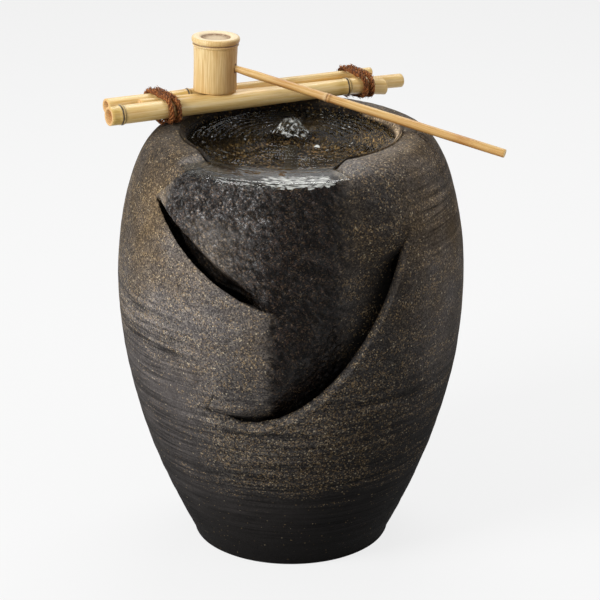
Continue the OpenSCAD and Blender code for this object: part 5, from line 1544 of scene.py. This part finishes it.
for name, (fitted, *look) in fittings.items():
    finish = fittingMaterial(name, *look)
    for node in fitted:
        for place in nodes[node].material_slots:
            place.material = finish
print("fittings:", sum(len(fitted) for fitted, *look in fittings.values()))


# Camera, lamps, world and floor

studio = {
    "camera": {"place": (0, -2.510, 1.212), "tilt": 69.36, "lens": 148.44, "shift": 0.015},
    "lamps": {  # place and aim in metres, width and height, watts
        "key_softbox": ((-1.9, -1.5, 1.9), (0, 0, 0.27), (1.2, 1.2), 56),
        "side_softbox": ((-2.15, -1.45, 0.8), (0, 0, 0.3), (0.5, 0.9), 14),
        "top_softbox": ((0.2, 1.3, 2.2), (0, 0, 0.35), (1.6, 0.8), 25),
        "fill_softbox": ((2.4, -1.2, 1.0), (0, 0, 0.25), (1.4, 1.4), 10),
    },
    "ambient": 0.31, "floor": "#d8d8d8", "floorGlow": 0.8, "floorHalf": 8,
}

camera = addObject("camera", bpy.data.cameras.new("camera"))
camera.location = studio["camera"]["place"]
camera.rotation_euler = (math.radians(studio["camera"]["tilt"]), 0, 0)
camera.data.lens = studio["camera"]["lens"]
camera.data.sensor_width = 36
camera.data.shift_x = studio["camera"]["shift"]
bpy.context.scene.camera = camera

for name, (place, aim, size, power) in studio["lamps"].items():
    light = bpy.data.lights.new(name, "AREA")
    light.shape, light.energy = "RECTANGLE", power
    light.size, light.size_y = size
    lamp = addObject(name, light)
    lamp.location = place
    lamp.rotation_euler = (Vector(aim) - Vector(place)).to_track_quat("-Z", "Y").to_euler()


def seenWhite(add):  # 1 for camera, glossy and transmission rays
    path = add("LightPath").node.outputs
    first = add("Math", {"operation": "MAXIMUM", 0: path["Is Camera Ray"],
                         1: path["Is Glossy Ray"]})
    return add("Math", {"operation": "MAXIMUM", 0: first, 1: path["Is Transmission Ray"]})


world = bpy.data.worlds.new("studio")
bpy.context.scene.world = world
world.use_nodes = True
world.node_tree.nodes.clear()
add = partial(addNode, world.node_tree)
ambient = add("Background", {"Color": srgb("#ffffff"), "Strength": studio["ambient"]})
white = add("Background", {"Color": srgb("#ffffff"), "Strength": 1.0})
add("OutputWorld", {"Surface": add("MixShader", {0: seenWhite(add), 1: ambient, 2: white})})

half = studio["floorHalf"]
floorMesh = bpy.data.meshes.new("floor")
floorMesh.from_pydata([(-half, -half, 0), (half, -half, 0), (half, half, 0), (-half, half, 0)],
                      [], [(0, 1, 2, 3)])
floor = addObject("floor", floorMesh)
floorMaterial, add = newMaterial("white_paper")
paper = add("BsdfPrincipled", {"Base Color": srgb(studio["floor"]), "Roughness": 0.9,
                               "Specular IOR Level": 0.1})
glow = add("Emission", {"Color": srgb("#ffffff"), "Strength": 1.0})
share = add("Math", {"operation": "MULTIPLY", 1: studio["floorGlow"], 0: seenWhite(add)})
add("OutputMaterial", {"Surface": add("MixShader", {0: share, 1: paper, 2: glow})})
floorMesh.materials.append(floorMaterial)
print("studio: camera,", len(studio["lamps"]), "lamps and floor")

bpy.context.scene.view_settings.view_transform = "Standard"
